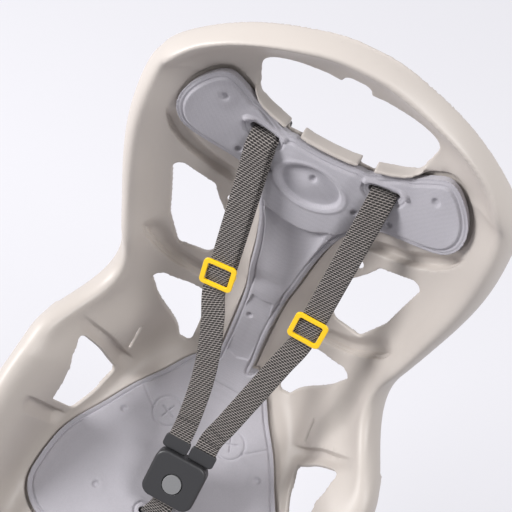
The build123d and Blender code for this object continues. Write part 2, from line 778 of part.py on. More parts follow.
strap_feet = [on_seat(guard_middle - rim_line, strap_line, -foot_level + strap_play)]
for across, height in ((-1, 0.4), (-0.86, 0.72), (-0.5, 0.94), (0, 1), (0.5, 0.94), (0.86, 0.72), (1, 0.4)):
    strap_feet.append(on_seat(guard_middle + across * rim_line, strap_line, foot_strap_rise * height - foot_level))
strap_feet.append(on_seat(guard_middle + rim_line, strap_line, -foot_level + strap_play))
with BuildPart() as foot_strap:
    add(ribbon(strap_feet, foot_strap_width, strap_thickness, 41, Vector(0, 1, 0)))

mirrored = {"leg_guard": guard, "footrest": footrest, "footrest_button": foot_button, "foot_strap": foot_strap}
for name, right in mirrored.items():
    with BuildPart() as left:
        mirror(right.part, about=Plane.YZ)
    finish(left.part, f"{name}_left")
    finish(right.part, f"{name}_right")

# Carrier bow: one bent rod from the frame block's sockets to rails under the seat
prong_low = tube_plane.from_local_coords(Vector(bow_half, socket_behind, -prong_below))
prong_high = tube_plane.from_local_coords(Vector(bow_half, socket_behind, prong_above))
rail_front = on_seat(bow_half, -rail_starts, -bow_rail_drop)
rail_back = on_seat(bow_half, -rail_ends, -bow_rail_drop)
right_half = [prong_low, prong_high, rail_front, rail_back]
left_half = [Vector(-point.X, point.Y, point.Z) for point in reversed(right_half)]
with BuildPart() as bow:
    with BuildLine():
        FilletPolyline(*right_half, *left_half, radius=bow_bend)
    with BuildSketch(Plane(origin=prong_low, x_dir=(1, 0, 0), z_dir=tube_axis)):
        Circle(bow_radius)
    sweep()
finish(bow.part, "carrier_bow")

# Cradle between the rails and the shell, clamp plate under it, bolts and flanged nuts
cradle_top = shell_face - wall - cradle_gap
rail_plane = Plane(origin=on_seat(0, -cradle_front - 1, -bow_rail_drop), x_dir=(-1, 0, 0), z_dir=(0, 1, 0))
plate_top = -bow_rail_drop - piece_gap
with BuildPart() as cradle:
    with BuildSketch(seat_plane.offset(cradle_top)):
        with Locations(cradle_middle):
            RectangleRounded(2 * cradle_half, cradle_length, 8)
    extrude(amount=-bow_rail_drop + piece_gap - cradle_top)
    with BuildSketch(rail_plane):
        with GridLocations(2 * bow_half, 0, 2, 1):
            Circle(bow_radius + socket_play)
    extrude(amount=cradle_length + 2, mode=Mode.SUBTRACT)
    with BuildSketch(seat_plane.offset(cradle_top)):
        with Locations(*cradle_bolts):
            Circle(nut_barrel_radius + piece_gap)
    extrude(amount=-nut_length, mode=Mode.SUBTRACT)
    with BuildSketch(seat_plane.offset(cradle_top)):
        with Locations(*cradle_bolts):
            Circle(cradle_bolt_radius + 2 * piece_gap)
    extrude(amount=-bow_rail_drop, mode=Mode.SUBTRACT)
finish(cradle.part, "carrier_cradle")

with BuildPart() as plate:
    with BuildSketch(seat_plane.offset(plate_top)):
        with Locations(cradle_middle):
            RectangleRounded(2 * cradle_half, cradle_length, 8)
    extrude(amount=-plate_thickness)
    with BuildSketch(rail_plane):
        with GridLocations(2 * bow_half, 0, 2, 1):
            Circle(bow_radius + socket_play)
    extrude(amount=cradle_length + 2, mode=Mode.SUBTRACT)
    with BuildSketch(seat_plane.offset(plate_top)):
        with Locations(*cradle_bolts):
            Circle(cradle_bolt_radius + 2 * piece_gap)
    extrude(amount=-plate_thickness, mode=Mode.SUBTRACT)
finish(plate.part, "carrier_clamp_plate")

bolt_head_plane = seat_plane.offset(plate_top - plate_thickness - piece_gap)
bolt_length = shell_face - (plate_top - plate_thickness - piece_gap) - nut_flange
with BuildPart() as cradle_bolt_set:
    with BuildSketch(bolt_head_plane):
        with Locations(*cradle_bolts):
            Circle(bolt_head_radius)
    extrude(amount=-bolt_head_height)
    with BuildSketch(bolt_head_plane):
        with Locations(*cradle_bolts):
            Circle(cradle_bolt_radius)
    extrude(amount=bolt_length)
    with BuildSketch(bolt_head_plane.offset(-bolt_head_height)):
        with Locations(*cradle_bolts):
            RegularPolygon(0.5 * bolt_head_radius, 6)
    extrude(amount=0.6 * bolt_head_height, mode=Mode.SUBTRACT)
finish(cradle_bolt_set.part, "carrier_bolts")

with BuildPart() as nut_set:
    with BuildSketch(seat_plane.offset(shell_face)):
        with Locations(*cradle_bolts):
            Circle(nut_flange_radius)
    extrude(amount=-nut_flange)
    with BuildSketch(seat_plane.offset(shell_face)):
        with Locations(*cradle_bolts):
            Circle(nut_barrel_radius)
    extrude(amount=cradle_top - nut_length + piece_gap - shell_face)
    with BuildSketch(seat_plane.offset(shell_face - nut_flange)):
        with Locations(*cradle_bolts):
            Circle(cradle_bolt_radius + piece_gap)
    extrude(amount=-bow_rail_drop, mode=Mode.SUBTRACT)
finish(nut_set.part, "carrier_nuts")

# Frame block: two jaws round the seat tube, four bolts and the release button
def jaw_face(offset_back):
    return Plane(origin=tube_plane.from_local_coords(Vector(0, offset_back, 0)), x_dir=(-1, 0, 0),
                 z_dir=tube_plane.y_dir)


rear_depth = rear_jaw_depth - jaw_split / 2
front_depth = front_jaw_depth - jaw_split / 2
jaw_bolts = [(x, level) for x in (-jaw_bolt_at, jaw_bolt_at) for level in (-jaw_bolt_level, jaw_bolt_level)]
with BuildPart() as rear_jaw:
    with BuildSketch(tube_plane):
        with Locations((0, jaw_split / 2 + rear_depth / 2)):
            RectangleRounded(2 * jaw_half_width, rear_depth, jaw_corner)
        Circle(tube_radius, mode=Mode.SUBTRACT)
        with Locations((bow_half, socket_behind), (-bow_half, socket_behind)):
            Circle(bow_radius + socket_play, mode=Mode.SUBTRACT)
    extrude(amount=jaw_height / 2, both=True)
    with BuildSketch(jaw_face(jaw_split / 2)):
        with Locations(*jaw_bolts):
            Circle(jaw_bolt_radius + piece_gap)
    extrude(amount=jaw_bolt_bite, mode=Mode.SUBTRACT)
    with BuildSketch(jaw_face(rear_jaw_depth)):
        RectangleRounded(release_width, release_height, 3)
    extrude(amount=-release_pocket, mode=Mode.SUBTRACT)
finish(rear_jaw.part, "rear_jaw")

with BuildPart() as front_jaw:
    with BuildSketch(tube_plane):
        with Locations((0, -jaw_split / 2 - front_depth / 2)):
            RectangleRounded(2 * front_jaw_half_width, front_depth, jaw_corner)
        Circle(tube_radius, mode=Mode.SUBTRACT)
    extrude(amount=jaw_height / 2, both=True)
    with BuildSketch(jaw_face(-front_jaw_depth)):
        with Locations(*jaw_bolts):
            Circle(jaw_bolt_radius + piece_gap)
    extrude(amount=front_jaw_depth, mode=Mode.SUBTRACT)
finish(front_jaw.part, "front_jaw")

with BuildPart() as jaw_bolt_set:
    with BuildSketch(jaw_face(-front_jaw_depth - piece_gap)):
        with Locations(*jaw_bolts):
            Circle(bolt_head_radius)
    extrude(amount=-bolt_head_height)
    with BuildSketch(jaw_face(-front_jaw_depth - piece_gap)):
        with Locations(*jaw_bolts):
            Circle(jaw_bolt_radius)
    extrude(amount=front_jaw_depth + jaw_split / 2 + jaw_bolt_bite - piece_gap)
    with BuildSketch(jaw_face(-front_jaw_depth - piece_gap - bolt_head_height)):
        with Locations(*jaw_bolts):
            RegularPolygon(0.5 * bolt_head_radius, 6)
    extrude(amount=0.6 * bolt_head_height, mode=Mode.SUBTRACT)
finish(jaw_bolt_set.part, "jaw_bolts")

with BuildPart() as release:
    with BuildSketch(jaw_face(rear_jaw_depth - release_pocket + release_travel + running_gap)):
        RectangleRounded(release_width - 2 * running_gap, release_height - 2 * running_gap, 3 - running_gap)
    extrude(amount=release_pocket + release_stand - release_travel - running_gap)
    fillet(release.faces().sort_by(Axis((0, 0, 0), tube_plane.y_dir))[-1].edges(), 1.5)
finish(release.part, "release_button")
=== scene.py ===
"""Dresses the child bike seat: moulded bucket, thermoformed pad, woven harness, leg guards and carrier."""

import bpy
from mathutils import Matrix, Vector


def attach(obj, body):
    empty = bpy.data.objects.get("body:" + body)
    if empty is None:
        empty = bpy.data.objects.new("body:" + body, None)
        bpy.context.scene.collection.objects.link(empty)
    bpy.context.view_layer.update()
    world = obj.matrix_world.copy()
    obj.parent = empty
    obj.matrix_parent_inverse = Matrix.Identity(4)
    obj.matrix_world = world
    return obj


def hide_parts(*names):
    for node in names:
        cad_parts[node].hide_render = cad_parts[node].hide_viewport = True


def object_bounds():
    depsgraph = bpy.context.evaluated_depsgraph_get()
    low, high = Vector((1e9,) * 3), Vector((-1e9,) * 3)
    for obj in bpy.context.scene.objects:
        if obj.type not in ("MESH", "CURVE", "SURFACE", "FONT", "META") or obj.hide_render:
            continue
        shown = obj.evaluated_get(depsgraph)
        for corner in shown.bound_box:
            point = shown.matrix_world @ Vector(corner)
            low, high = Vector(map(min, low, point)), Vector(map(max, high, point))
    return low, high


bl_info = {
    "name": "Child bike seat",
    "version": (1, 0, 0),
    "blender": (4, 5, 0),
    "location": "View3D > Sidebar > Bike Seat",
    "description": "Builds the visible pieces of a rear child bike seat round its packed frame",
    "category": "Object",
}

import math

import bmesh
import bpy
import numpy as np
from mathutils import Matrix, Vector
from mathutils.bvhtree import BVHTree
from mathutils.kdtree import KDTree

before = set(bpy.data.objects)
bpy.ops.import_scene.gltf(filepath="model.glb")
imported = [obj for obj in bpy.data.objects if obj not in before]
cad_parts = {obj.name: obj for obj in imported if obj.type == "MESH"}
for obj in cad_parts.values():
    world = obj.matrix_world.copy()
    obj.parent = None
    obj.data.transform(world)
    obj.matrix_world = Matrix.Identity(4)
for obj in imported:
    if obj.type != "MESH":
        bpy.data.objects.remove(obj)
cad_low, cad_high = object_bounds()

MM = 0.001
RECLINE = math.radians(15)
JUNCTION = np.array((0.0, 370.0, 190.0))
RIGHT = np.array((1.0, 0.0, 0.0))
UP_BACK = np.array((0.0, math.sin(RECLINE), math.cos(RECLINE)))
OFF_BACK = np.array((0.0, -math.cos(RECLINE), math.sin(RECLINE)))
SIDES = {"left": -1, "right": 1}


def linear(red, green, blue):
    """A colour as it looks on screen, 0 to 255, as the values that a shader takes."""
    shares = [value / 255 for value in (red, green, blue)]
    return tuple(s / 12.92 if s <= 0.04045 else ((s + 0.055) / 1.055) ** 2.4 for s in shares)


# Settings
def colour_setting(name, description, default):
    return bpy.props.FloatVectorProperty(
        name=name, description=description, subtype="COLOR", size=3, min=0, max=1, default=default
    )


def length_setting(name, description, default):
    return bpy.props.FloatProperty(name=name, description=description, unit="LENGTH", default=default, min=0)


class MouldingSettings(bpy.types.PropertyGroup):
    """Colours and grain of the moulded plastics"""

    shell: colour_setting("Bucket", "Warm beige-grey of the bucket and leg guards", linear(194, 186, 180))
    black: colour_setting("Black", "Black of buckle, foot rests and frame block", linear(44, 44, 46))
    grey: colour_setting("Grey", "Grey of the push buttons", linear(128, 128, 130))
    yellow: colour_setting("Yellow", "Yellow of the strap adjusters", linear(255, 208, 24))
    rod: colour_setting("Rod", "Black powder coat of the bent rod", linear(40, 40, 42))
    zinc: colour_setting("Zinc", "Zinc plate of bolts and screws", linear(205, 206, 208))
    bead_depth: length_setting("Bead depth", "Depth of the pressed beads in the bucket", 8.5 * MM)
    pocket: length_setting("Pad pocket", "How far the bucket is sunk under the pad", 2.8 * MM)


class PadSettings(bpy.types.PropertyGroup):
    """Colour and relief of the seat pad"""

    knit: colour_setting("Knit", "Cool grey of the pad's knit cover", linear(175, 172, 179))
    border: length_setting("Border", "Width of the welded border", 5.0 * MM)
    border_drop: length_setting("Border drop", "How far the border lies below the padded field", 0.9 * MM)
    crease: length_setting("Crease", "Depth of the welded line beside the border", 1.5 * MM)
    dimple: length_setting("Dimple", "Depth of the tack dimples", 2.2 * MM)


class WebbingSettings(bpy.types.PropertyGroup):
    """Size and colours of the harness webbing"""

    width: length_setting("Width", "Width of the harness webbing", 25 * MM)
    thickness: length_setting("Thickness", "Thickness of the webbing", 1.5 * MM)
    yarn: colour_setting("Yarn", "Dark ground of the weave", linear(38, 35, 34))
    fleck: colour_setting("Fleck", "Pale flecks of the weave", linear(182, 174, 170))
    thread: colour_setting("Thread", "Thread of the sewn ends", linear(58, 56, 57))


class StageSettings(bpy.types.PropertyGroup):
    """Backdrop and light"""

    backdrop: colour_setting("Backdrop", "Pale background", linear(243, 242, 248))
    floor: colour_setting("Floor", "Pale floor under the seat", linear(241, 240, 246))
    floor_glow: bpy.props.FloatProperty(
        name="Floor glow", description="Share of the floor's own light", default=0.76)
    key: bpy.props.FloatProperty(name="Key", description="Power of the key light in watts", default=28, min=0)
    fill: bpy.props.FloatProperty(
        name="Fill", description="Power of the fill light in watts", default=20, min=0)


def settings(name):
    return getattr(bpy.context.scene, name)


# Webbing rows and the dashes in them, in millimetres
WEAVE_ROW = 2.4
WEAVE_DASH = 4.2
WEAVE_RISE = 0.16
# Half length and half height of a dark float, as shares of its dash and row
WEAVE_FLOAT = (0.54, 0.45)


# Shader parts
class Tree:
    """Short ways to add and join nodes in one node tree."""

    def __init__(self, tree):
        self.tree = tree

    def add(self, kind, **values):
        node = self.tree.nodes.new(kind)
        for key, value in values.items():
            setattr(node, key, value)
        return node

    def join(self, source, target):
        self.tree.links.new(source, target)

    def math(self, operation, first, second):
        node = self.add("ShaderNodeMath", operation=operation)
        for socket, value in zip(node.inputs, (first, second)):
            if isinstance(value, (int, float)):
                socket.default_value = value
            else:
                self.join(value, socket)
        return node.outputs[0]


def new_group(name, inputs, outputs):
    """A shader node group with named float inputs and outputs, and its two ends."""
    group = bpy.data.node_groups.new(name, "ShaderNodeTree")
    for label, default in inputs:
        socket = group.interface.new_socket(name=label, in_out="INPUT", socket_type="NodeSocketFloat")
        socket.default_value = default
    for label in outputs:
        group.interface.new_socket(name=label, in_out="OUTPUT", socket_type="NodeSocketFloat")
    tree = Tree(group)
    return group, tree, tree.add("NodeGroupInput"), tree.add("NodeGroupOutput")


def noise(tree, coords, scale, detail):
    node = tree.add("ShaderNodeTexNoise")
    node.inputs["Detail"].default_value = detail
    tree.join(coords, node.inputs["Vector"])
    if isinstance(scale, (int, float)):
        node.inputs["Scale"].default_value = scale
    else:
        tree.join(scale, node.inputs["Scale"])
    return node.outputs["Fac"]


def grain_group():
    """Fine moulded grain and slow changes of tone over a surface."""
    if "Moulded grain" in bpy.data.node_groups:
        return bpy.data.node_groups["Moulded grain"]
    inputs = [("Grain scale", 900.0), ("Tone scale", 9.0), ("Tone change", 0.06)]
    group, tree, given, result = new_group("Moulded grain", inputs, ["Height", "Tone", "Polish"])
    coords = tree.add("ShaderNodeTexCoord").outputs["Object"]
    fine = noise(tree, coords, given.outputs["Grain scale"], 2)
    slow = noise(tree, coords, given.outputs["Tone scale"], 3)
    swing = tree.math("MULTIPLY", tree.math("SUBTRACT", slow, 0.5), given.outputs["Tone change"])
    tree.join(fine, result.inputs["Height"])
    tree.join(tree.math("ADD", swing, 1.0), result.inputs["Tone"])
    tree.join(tree.math("ADD", tree.math("MULTIPLY", slow, 0.10), tree.math("MULTIPLY", fine, 0.06)),
              result.inputs["Polish"])
    return group


def new_material(name):
    material = bpy.data.materials.new(name)
    material.use_nodes = True
    tree = Tree(material.node_tree)
    shader = material.node_tree.nodes["Principled BSDF"]
    return material, tree, shader


def tinted(tree, colour, tone):
    """A colour made lighter and darker by a tone value."""
    mix = tree.add("ShaderNodeMix", data_type="RGBA", blend_type="MULTIPLY")
    mix.inputs["Factor"].default_value = 1.0
    mix.inputs["A"].default_value = (*colour, 1)
    tree.join(tone, mix.inputs["B"])
    return mix.outputs["Result"]


def raised(tree, shader, height, distance, strength):
    bump = tree.add("ShaderNodeBump")
    bump.inputs["Distance"].default_value = distance
    bump.inputs["Strength"].default_value = strength
    tree.join(height, bump.inputs["Height"])
    tree.join(bump.outputs["Normal"], shader.inputs["Normal"])


def moulded_plastic(name, colour, roughness, grain, specular=0.5):
    """Satin moulded plastic with a fine spark grain."""
    if name in bpy.data.materials:
        return bpy.data.materials[name]
    material, tree, shader = new_material(name)
    group = tree.add("ShaderNodeGroup", node_tree=grain_group())
    tree.join(tinted(tree, colour, group.outputs["Tone"]), shader.inputs["Base Color"])
    tree.join(tree.math("ADD", group.outputs["Polish"], roughness - 0.08), shader.inputs["Roughness"])
    shader.inputs["Specular IOR Level"].default_value = specular
    raised(tree, shader, group.outputs["Height"], grain, 0.5)
    return material


def coated_metal(name, colour, metallic, roughness):
    """Plated or powder-coated steel."""
    if name in bpy.data.materials:
        return bpy.data.materials[name]
    material, tree, shader = new_material(name)
    group = tree.add("ShaderNodeGroup", node_tree=grain_group())
    group.inputs["Grain scale"].default_value = 1600
    group.inputs["Tone scale"].default_value = 40
    tree.join(tinted(tree, colour, group.outputs["Tone"]), shader.inputs["Base Color"])
    tree.join(tree.math("ADD", group.outputs["Polish"], roughness - 0.08), shader.inputs["Roughness"])
    shader.inputs["Metallic"].default_value = metallic
    raised(tree, shader, group.outputs["Height"], 0.02 * MM, 0.4)
    return material


def pad_knit():
    """Fine grey knit laminated over foam."""
    material, tree, shader = new_material("Pad knit")
    coords = tree.add("ShaderNodeTexCoord").outputs["Object"]
    loops = tree.add("ShaderNodeTexVoronoi", feature="F1", distance="EUCLIDEAN")
    loops.inputs["Scale"].default_value = 620
    loops.inputs["Randomness"].default_value = 0.35
    tree.join(coords, loops.inputs["Vector"])
    fuzz = noise(tree, coords, 2600, 2)
    slow = noise(tree, coords, 14, 3)
    knit = tree.math("ADD", tree.math("MULTIPLY", loops.outputs["Distance"], -0.16), 1.06)
    tone = tree.math("MULTIPLY", knit, tree.math("ADD", tree.math("MULTIPLY", slow, 0.10), 0.95))
    tone = tree.math("MULTIPLY", tone, tree.math("ADD", tree.math("MULTIPLY", fuzz, 0.14), 0.93))
    tree.join(tinted(tree, tuple(settings("seat_pad_look").knit), tone), shader.inputs["Base Color"])
    shader.inputs["Roughness"].default_value = 0.85
    shader.inputs["Specular IOR Level"].default_value = 0.25
    shader.inputs["Sheen Weight"].default_value = 0.25
    shader.inputs["Sheen Roughness"].default_value = 0.5
    height = tree.math("ADD", tree.math("MULTIPLY", loops.outputs["Distance"], -1.0), fuzz)
    raised(tree, shader, height, 0.14 * MM, 0.5)
    return material


def webbing_weave():
    """Dark webbing with rows of pale flecks, laid on the strap's own map in metres."""
    if "Webbing weave" in bpy.data.materials:
        return bpy.data.materials["Webbing weave"]
    look = settings("seat_webbing_look")
    material, tree, shader = new_material("Webbing weave")
    coords = tree.add("ShaderNodeUVMap", uv_map="weave").outputs["UV"]
    parts = tree.add("ShaderNodeSeparateXYZ")
    tree.join(coords, parts.inputs["Vector"])
    rows = tree.math("DIVIDE", parts.outputs["Y"], WEAVE_ROW * MM)
    step = tree.math("DIVIDE", tree.math("FLOOR", rows, 0), 3)
    dashes = tree.math("ADD", tree.math("DIVIDE", parts.outputs["X"], WEAVE_DASH * MM), step)
    along = tree.math("DIVIDE", tree.math("SUBTRACT", tree.math("FRACT", rows, 0), 0.5), WEAVE_FLOAT[1])
    across = tree.math("DIVIDE", tree.math("SUBTRACT", tree.math("FRACT", dashes, 0), 0.5), WEAVE_FLOAT[0])
    inside = tree.math("ADD", tree.math("MULTIPLY", along, along), tree.math("MULTIPLY", across, across))
    ramp = tree.add("ShaderNodeMapRange", interpolation_type="SMOOTHSTEP")
    ramp.inputs["From Min"].default_value = 0.5
    ramp.inputs["From Max"].default_value = 1.5
    tree.join(inside, ramp.inputs["Value"])
    fuzz = noise(tree, coords, 2400, 3)
    slow = noise(tree, coords, 160, 2)
    worn = tree.math("ADD", tree.math("MULTIPLY", fuzz, 0.6), tree.math("MULTIPLY", slow, 0.5))
    fleck = tree.math("MULTIPLY", ramp.outputs["Result"], tree.math("ADD", worn, 0.4))
    mix = tree.add("ShaderNodeMix", data_type="RGBA")
    mix.inputs["A"].default_value = (*look.yarn, 1)
    mix.inputs["B"].default_value = (*look.fleck, 1)
    tree.join(fleck, mix.inputs["Factor"])
    tree.join(mix.outputs["Result"], shader.inputs["Base Color"])
    shader.inputs["Roughness"].default_value = 0.7
    shader.inputs["Specular IOR Level"].default_value = 0.3
    shader.inputs["Sheen Weight"].default_value = 0.15
    raised(tree, shader, fleck, 0.35 * MM, 0.8)
    return material


# Meshes
def merged_copy(names):
    """One welded mesh of the given nodes' triangles."""
    bm = bmesh.new()
    for name in names:
        bm.from_mesh(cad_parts[name].data)
    bmesh.ops.remove_doubles(bm, verts=bm.verts, dist=0.01 * MM)
    mesh = bpy.data.meshes.new("welded")
    bm.to_mesh(mesh)
    bm.free()
    return mesh


def new_object(name, mesh):
    piece = bpy.data.objects.new(name, mesh)
    bpy.context.scene.collection.objects.link(piece)
    return piece


def bake_modifiers(piece):
    """Applies the piece's modifiers to its mesh."""
    graph = bpy.context.evaluated_depsgraph_get()
    baked = bpy.data.meshes.new_from_object(piece.evaluated_get(graph))
    piece.modifiers.clear()
    piece.data = baked
    return piece


def points_of(mesh):
    flat = np.empty(3 * len(mesh.vertices))
    mesh.vertices.foreach_get("co", flat)
    return flat.reshape(-1, 3)


def normals_of(mesh):
    flat = np.empty(3 * len(mesh.vertices), np.float32)
    mesh.vertex_normals.foreach_get("vector", flat)
    return flat.reshape(-1, 3).astype(float)


def set_points(mesh, points):
    mesh.vertices.foreach_set("co", points.ravel())
    mesh.update()


def neighbours(mesh):
    """The two ends of every edge and the number of edges at every vertex."""
    pairs = np.empty(2 * len(mesh.edges), np.int32)
    mesh.edges.foreach_get("vertices", pairs)
    count = np.maximum(np.bincount(pairs, minlength=len(mesh.vertices)), 1)
    return (*pairs.reshape(-1, 2).T, count)


def averaged(column, first, second, count):
    """The mean of each vertex's neighbours."""
    near = np.bincount(first, weights=column[second], minlength=len(column))
    near += np.bincount(second, weights=column[first], minlength=len(column))
    return near / count


def relax(mesh, rounds):
    """Smooths a mesh without shrinking it."""
    points = points_of(mesh)
    around = neighbours(mesh)
    for weight in (0.52, -0.54) * rounds:
        for axis in range(3):
            points[:, axis] += weight * (averaged(points[:, axis], *around) - points[:, axis])
    set_points(mesh, points)


def blurred(mesh, values, rounds):
    """Values on the vertices, each set to its neighbours' mean a number of times."""
    around = neighbours(mesh)
    for _ in range(rounds):
        values = averaged(values, *around)
    return values


def softened(mesh, weight, rounds):
    """Smooths the vertices that have a weight."""
    points = points_of(mesh)
    around = neighbours(mesh)
    for _ in range(rounds):
        for axis in range(3):
            points[:, axis] += 0.5 * weight * (averaged(points[:, axis], *around) - points[:, axis])
    set_points(mesh, points)


def moulding(name, nodes, voxel, rounds):
    """A soft-edged copy of CAD nodes: welded, rebuilt on an even grid and smoothed."""
    piece = new_object(name, merged_copy(nodes))
    remesh = piece.modifiers.new("Even grid", "REMESH")
    remesh.mode = "VOXEL"
    remesh.voxel_size = voxel
    bake_modifiers(piece)
    relax(piece.data, rounds)
    return piece


def thinned(piece, triangles):
    """Brings a piece down to about a number of triangles where it is flat."""
    have = sum(len(face.vertices) - 2 for face in piece.data.polygons)
    if have > triangles:
        modifier = piece.modifiers.new("Fewer faces", "DECIMATE")
        modifier.ratio = triangles / have
        bake_modifiers(piece)
    return piece


def smooth_shaded(mesh, angle):
    """Smooth shading with sharp edges where faces turn by more than an angle."""
    bm = bmesh.new()
    bm.from_mesh(mesh)
    for edge in bm.edges:
        edge.smooth = not edge.is_manifold or edge.calc_face_angle(0) < angle
    for face in bm.faces:
        face.smooth = True
    bm.to_mesh(mesh)
    bm.free()


def dress(piece, material, body, nodes, angle=math.radians(50)):
    """Gives a piece its material, its body and the nodes that it stands for."""
    piece.data.materials.clear()
    piece.data.materials.append(material)
    smooth_shaded(piece.data, angle)
    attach(piece, body)
    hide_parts(*nodes)
    return piece


def smoothstep(low, high, value):
    share = np.clip((value - low) / (high - low), 0, 1)
    return share * share * (3 - 2 * share)


def back_coords(points):
    """Across, up and off the back, in millimetres, of points in the row frame in metres."""
    seat = points / MM - JUNCTION
    return seat[:, 0], seat @ UP_BACK, seat @ OFF_BACK


def ahead_of(points):
    """Which way the pad's face looks at points, off the back or up from the seat, and the back's share."""
    seat = points / MM - JUNCTION
    upright = smoothstep(10, 45, seat @ UP_BACK + 0.2 * seat[:, 1])
    ahead = upright[:, None] * OFF_BACK + (1 - upright)[:, None] * np.array((0.0, 0.0, 1.0))
    return ahead / np.linalg.norm(ahead, axis=1)[:, None], upright


def along_line(first, second, route):
    """Signed distance to a route of points and the share of its length, for arrays of plane coordinates."""
    here = np.stack([first, second], 1)
    route = np.array(route, float)
    lengths = np.linalg.norm(np.diff(route, axis=0), axis=1)
    best = np.full(len(here), 1e9)
    signed = np.zeros(len(here))
    share = np.zeros(len(here))
    start = 0.0
    for near, far, length in zip(route[:-1], route[1:], lengths):
        run = (far - near) / length
        reach = np.clip((here - near) @ run, 0, length)
        gap = here - near - reach[:, None] * run
        distance = np.linalg.norm(gap, axis=1)
        closer = distance < best
        best = np.where(closer, distance, best)
        side = np.sign(run[0] * gap[:, 1] - run[1] * gap[:, 0])
        signed = np.where(closer, distance * side, signed)
        share = np.where(closer, (start + reach) / lengths.sum(), share)
        start += length
    return signed, share


# Bucket shell
# Beads run from the side wall inwards: across and up on the back, forward and up on the sides
BACK_BEADS = [
    [(153, 338), (144, 311), (134, 296), (120, 283), (106, 273), (92, 264), (79, 257), (64, 251)],
    [(146, 194), (136, 170), (124, 151), (113, 138), (100, 127), (84, 114), (70, 106), (56, 99)],
]
SIDE_BEADS = [
    [(-66, 116), (-61, 88), (-53, 45), (-42, -2)],
    [(-164, 92), (-155, 60), (-146, 26), (-139, 2)],
]
INSIDE = np.array((0.0, -120.0, 210.0))


def bead_profile(distance):
    """A trough with one steep side, at its line, and one gentle side."""
    return smoothstep(-1.6, 1.8, distance) * (1 - smoothstep(6, 19, distance))


def pressed_beads(piece, depth):
    """Presses the beads into the wall, the same on both its faces."""
    points = points_of(piece.data)
    normals = normals_of(piece.data)
    a, b, _ = back_coords(points)
    seat = points / MM - JUNCTION
    press = np.zeros(len(points))
    for route in BACK_BEADS:
        distance, share = along_line(np.abs(a), b, route)
        fade = smoothstep(0, 0.2, share) * (1 - smoothstep(0.8, 1, share))
        press = np.maximum(press, bead_profile(-distance) * fade * (b > 60))
    for route in SIDE_BEADS:
        distance, share = along_line(seat[:, 1], seat[:, 2], route)
        fade = smoothstep(0, 0.25, share) * (1 - smoothstep(0.85, 1, share))
        press = np.maximum(press, 0.8 * bead_profile(-distance) * fade * (np.abs(a) > 80) * (b < 140))
    inwards = np.sign(np.einsum("ij,ij->i", normals, INSIDE - seat))
    set_points(piece.data, points - normals * (inwards * press * depth)[:, None])


POCKET_EDGE = (2.2, 3.8)


def sunk_under_pad(piece, depth):
    """Sinks the wall's face under the pad and a little beyond its edge, for a narrow gap round it."""
    pad = merged_copy(["seat_pad"])
    corners = [vertex.co for vertex in pad.vertices]
    tree = BVHTree.FromPolygons(corners, [tuple(face.vertices) for face in pad.polygons])
    bpy.data.meshes.remove(pad)
    points = points_of(piece.data)
    limit = POCKET_EDGE[1] * MM
    found = [tree.find_nearest(point, limit)[3] for point in points]
    gap = np.array([limit if distance is None else distance for distance in found]) / MM
    ahead, _ = ahead_of(points)
    set_points(piece.data, points - ahead * (depth * (1 - smoothstep(*POCKET_EDGE, gap)))[:, None])


LIP_ZONE = (85, 350, 394)
HOLE_CORNER = (81, 388, 14)


def rounded_lips(piece):
    """Rounds the lip and the lower corners of the helmet hole."""
    a, b, off = back_coords(points_of(piece.data))
    half, low, high = LIP_ZONE
    lip = (np.abs(a) < half) * (b > low) * (b < high) * smoothstep(-9, -5, off)
    softened(piece.data, lip, 10)
    across, up, reach = HOLE_CORNER
    corner = 1 - smoothstep(0.6 * reach, reach, np.hypot(np.abs(a) - across, b - up))
    softened(piece.data, corner, 60)


class SEAT_OT_bucket_shell(bpy.types.Operator):
    """Moulded bucket with soft edges and pressed beads"""

    bl_idname = "bike_seat.bucket_shell"
    bl_label = "Bucket shell"

    def execute(self, context):
        look = settings("seat_moulding_look")
        piece = moulding("bucket_shell_moulding", ["bucket_shell"], 1.1 * MM, 36)
        rounded_lips(piece)
        pressed_beads(piece, look.bead_depth)
        sunk_under_pad(piece, look.pocket)
        thinned(piece, 178000)
        plastic = moulded_plastic("Bucket plastic", tuple(look.shell), 0.46, 0.05 * MM)
        dress(piece, plastic, "seat", ["bucket_shell"])
        return {"FINISHED"}


# Seat pad
TACKS = [(105, 369, 4.4), (79, 316, 3.8), (45, 309, 3.8), (-3, 322, 4.0), (-6, 110, 4.0)]
SLOT_RIDGE = [(43, 350.5), (81, 351.5)]
PANEL_SIDES = [(24, 140), (24, 168), (28, 210), (32, 250), (34, 272)]
PANEL_TOP = [(-40, 272), (-30, 266), (-14, 261), (4, 260), (18, 263), (32, 271)]
PANEL_BOTTOM = 146.0
LOWER_PANEL = [(0, 139), (13, 142), (16, 120), (16, 70), (15, 36), (0, 30)]
OVAL_CENTRE = (-3, 313)
OVAL_HALF = (34, 23)
TACK_SWELL = 0.18


def tack_dimple(gap, radius):
    """Share of a tack's depth at a distance from its middle, with a slight swell round it."""
    swell = TACK_SWELL * np.exp(-(((gap - 1.6 * radius) / radius) ** 2))
    return 1 - smoothstep(0.4 * radius, 1.1 * radius, gap) - swell


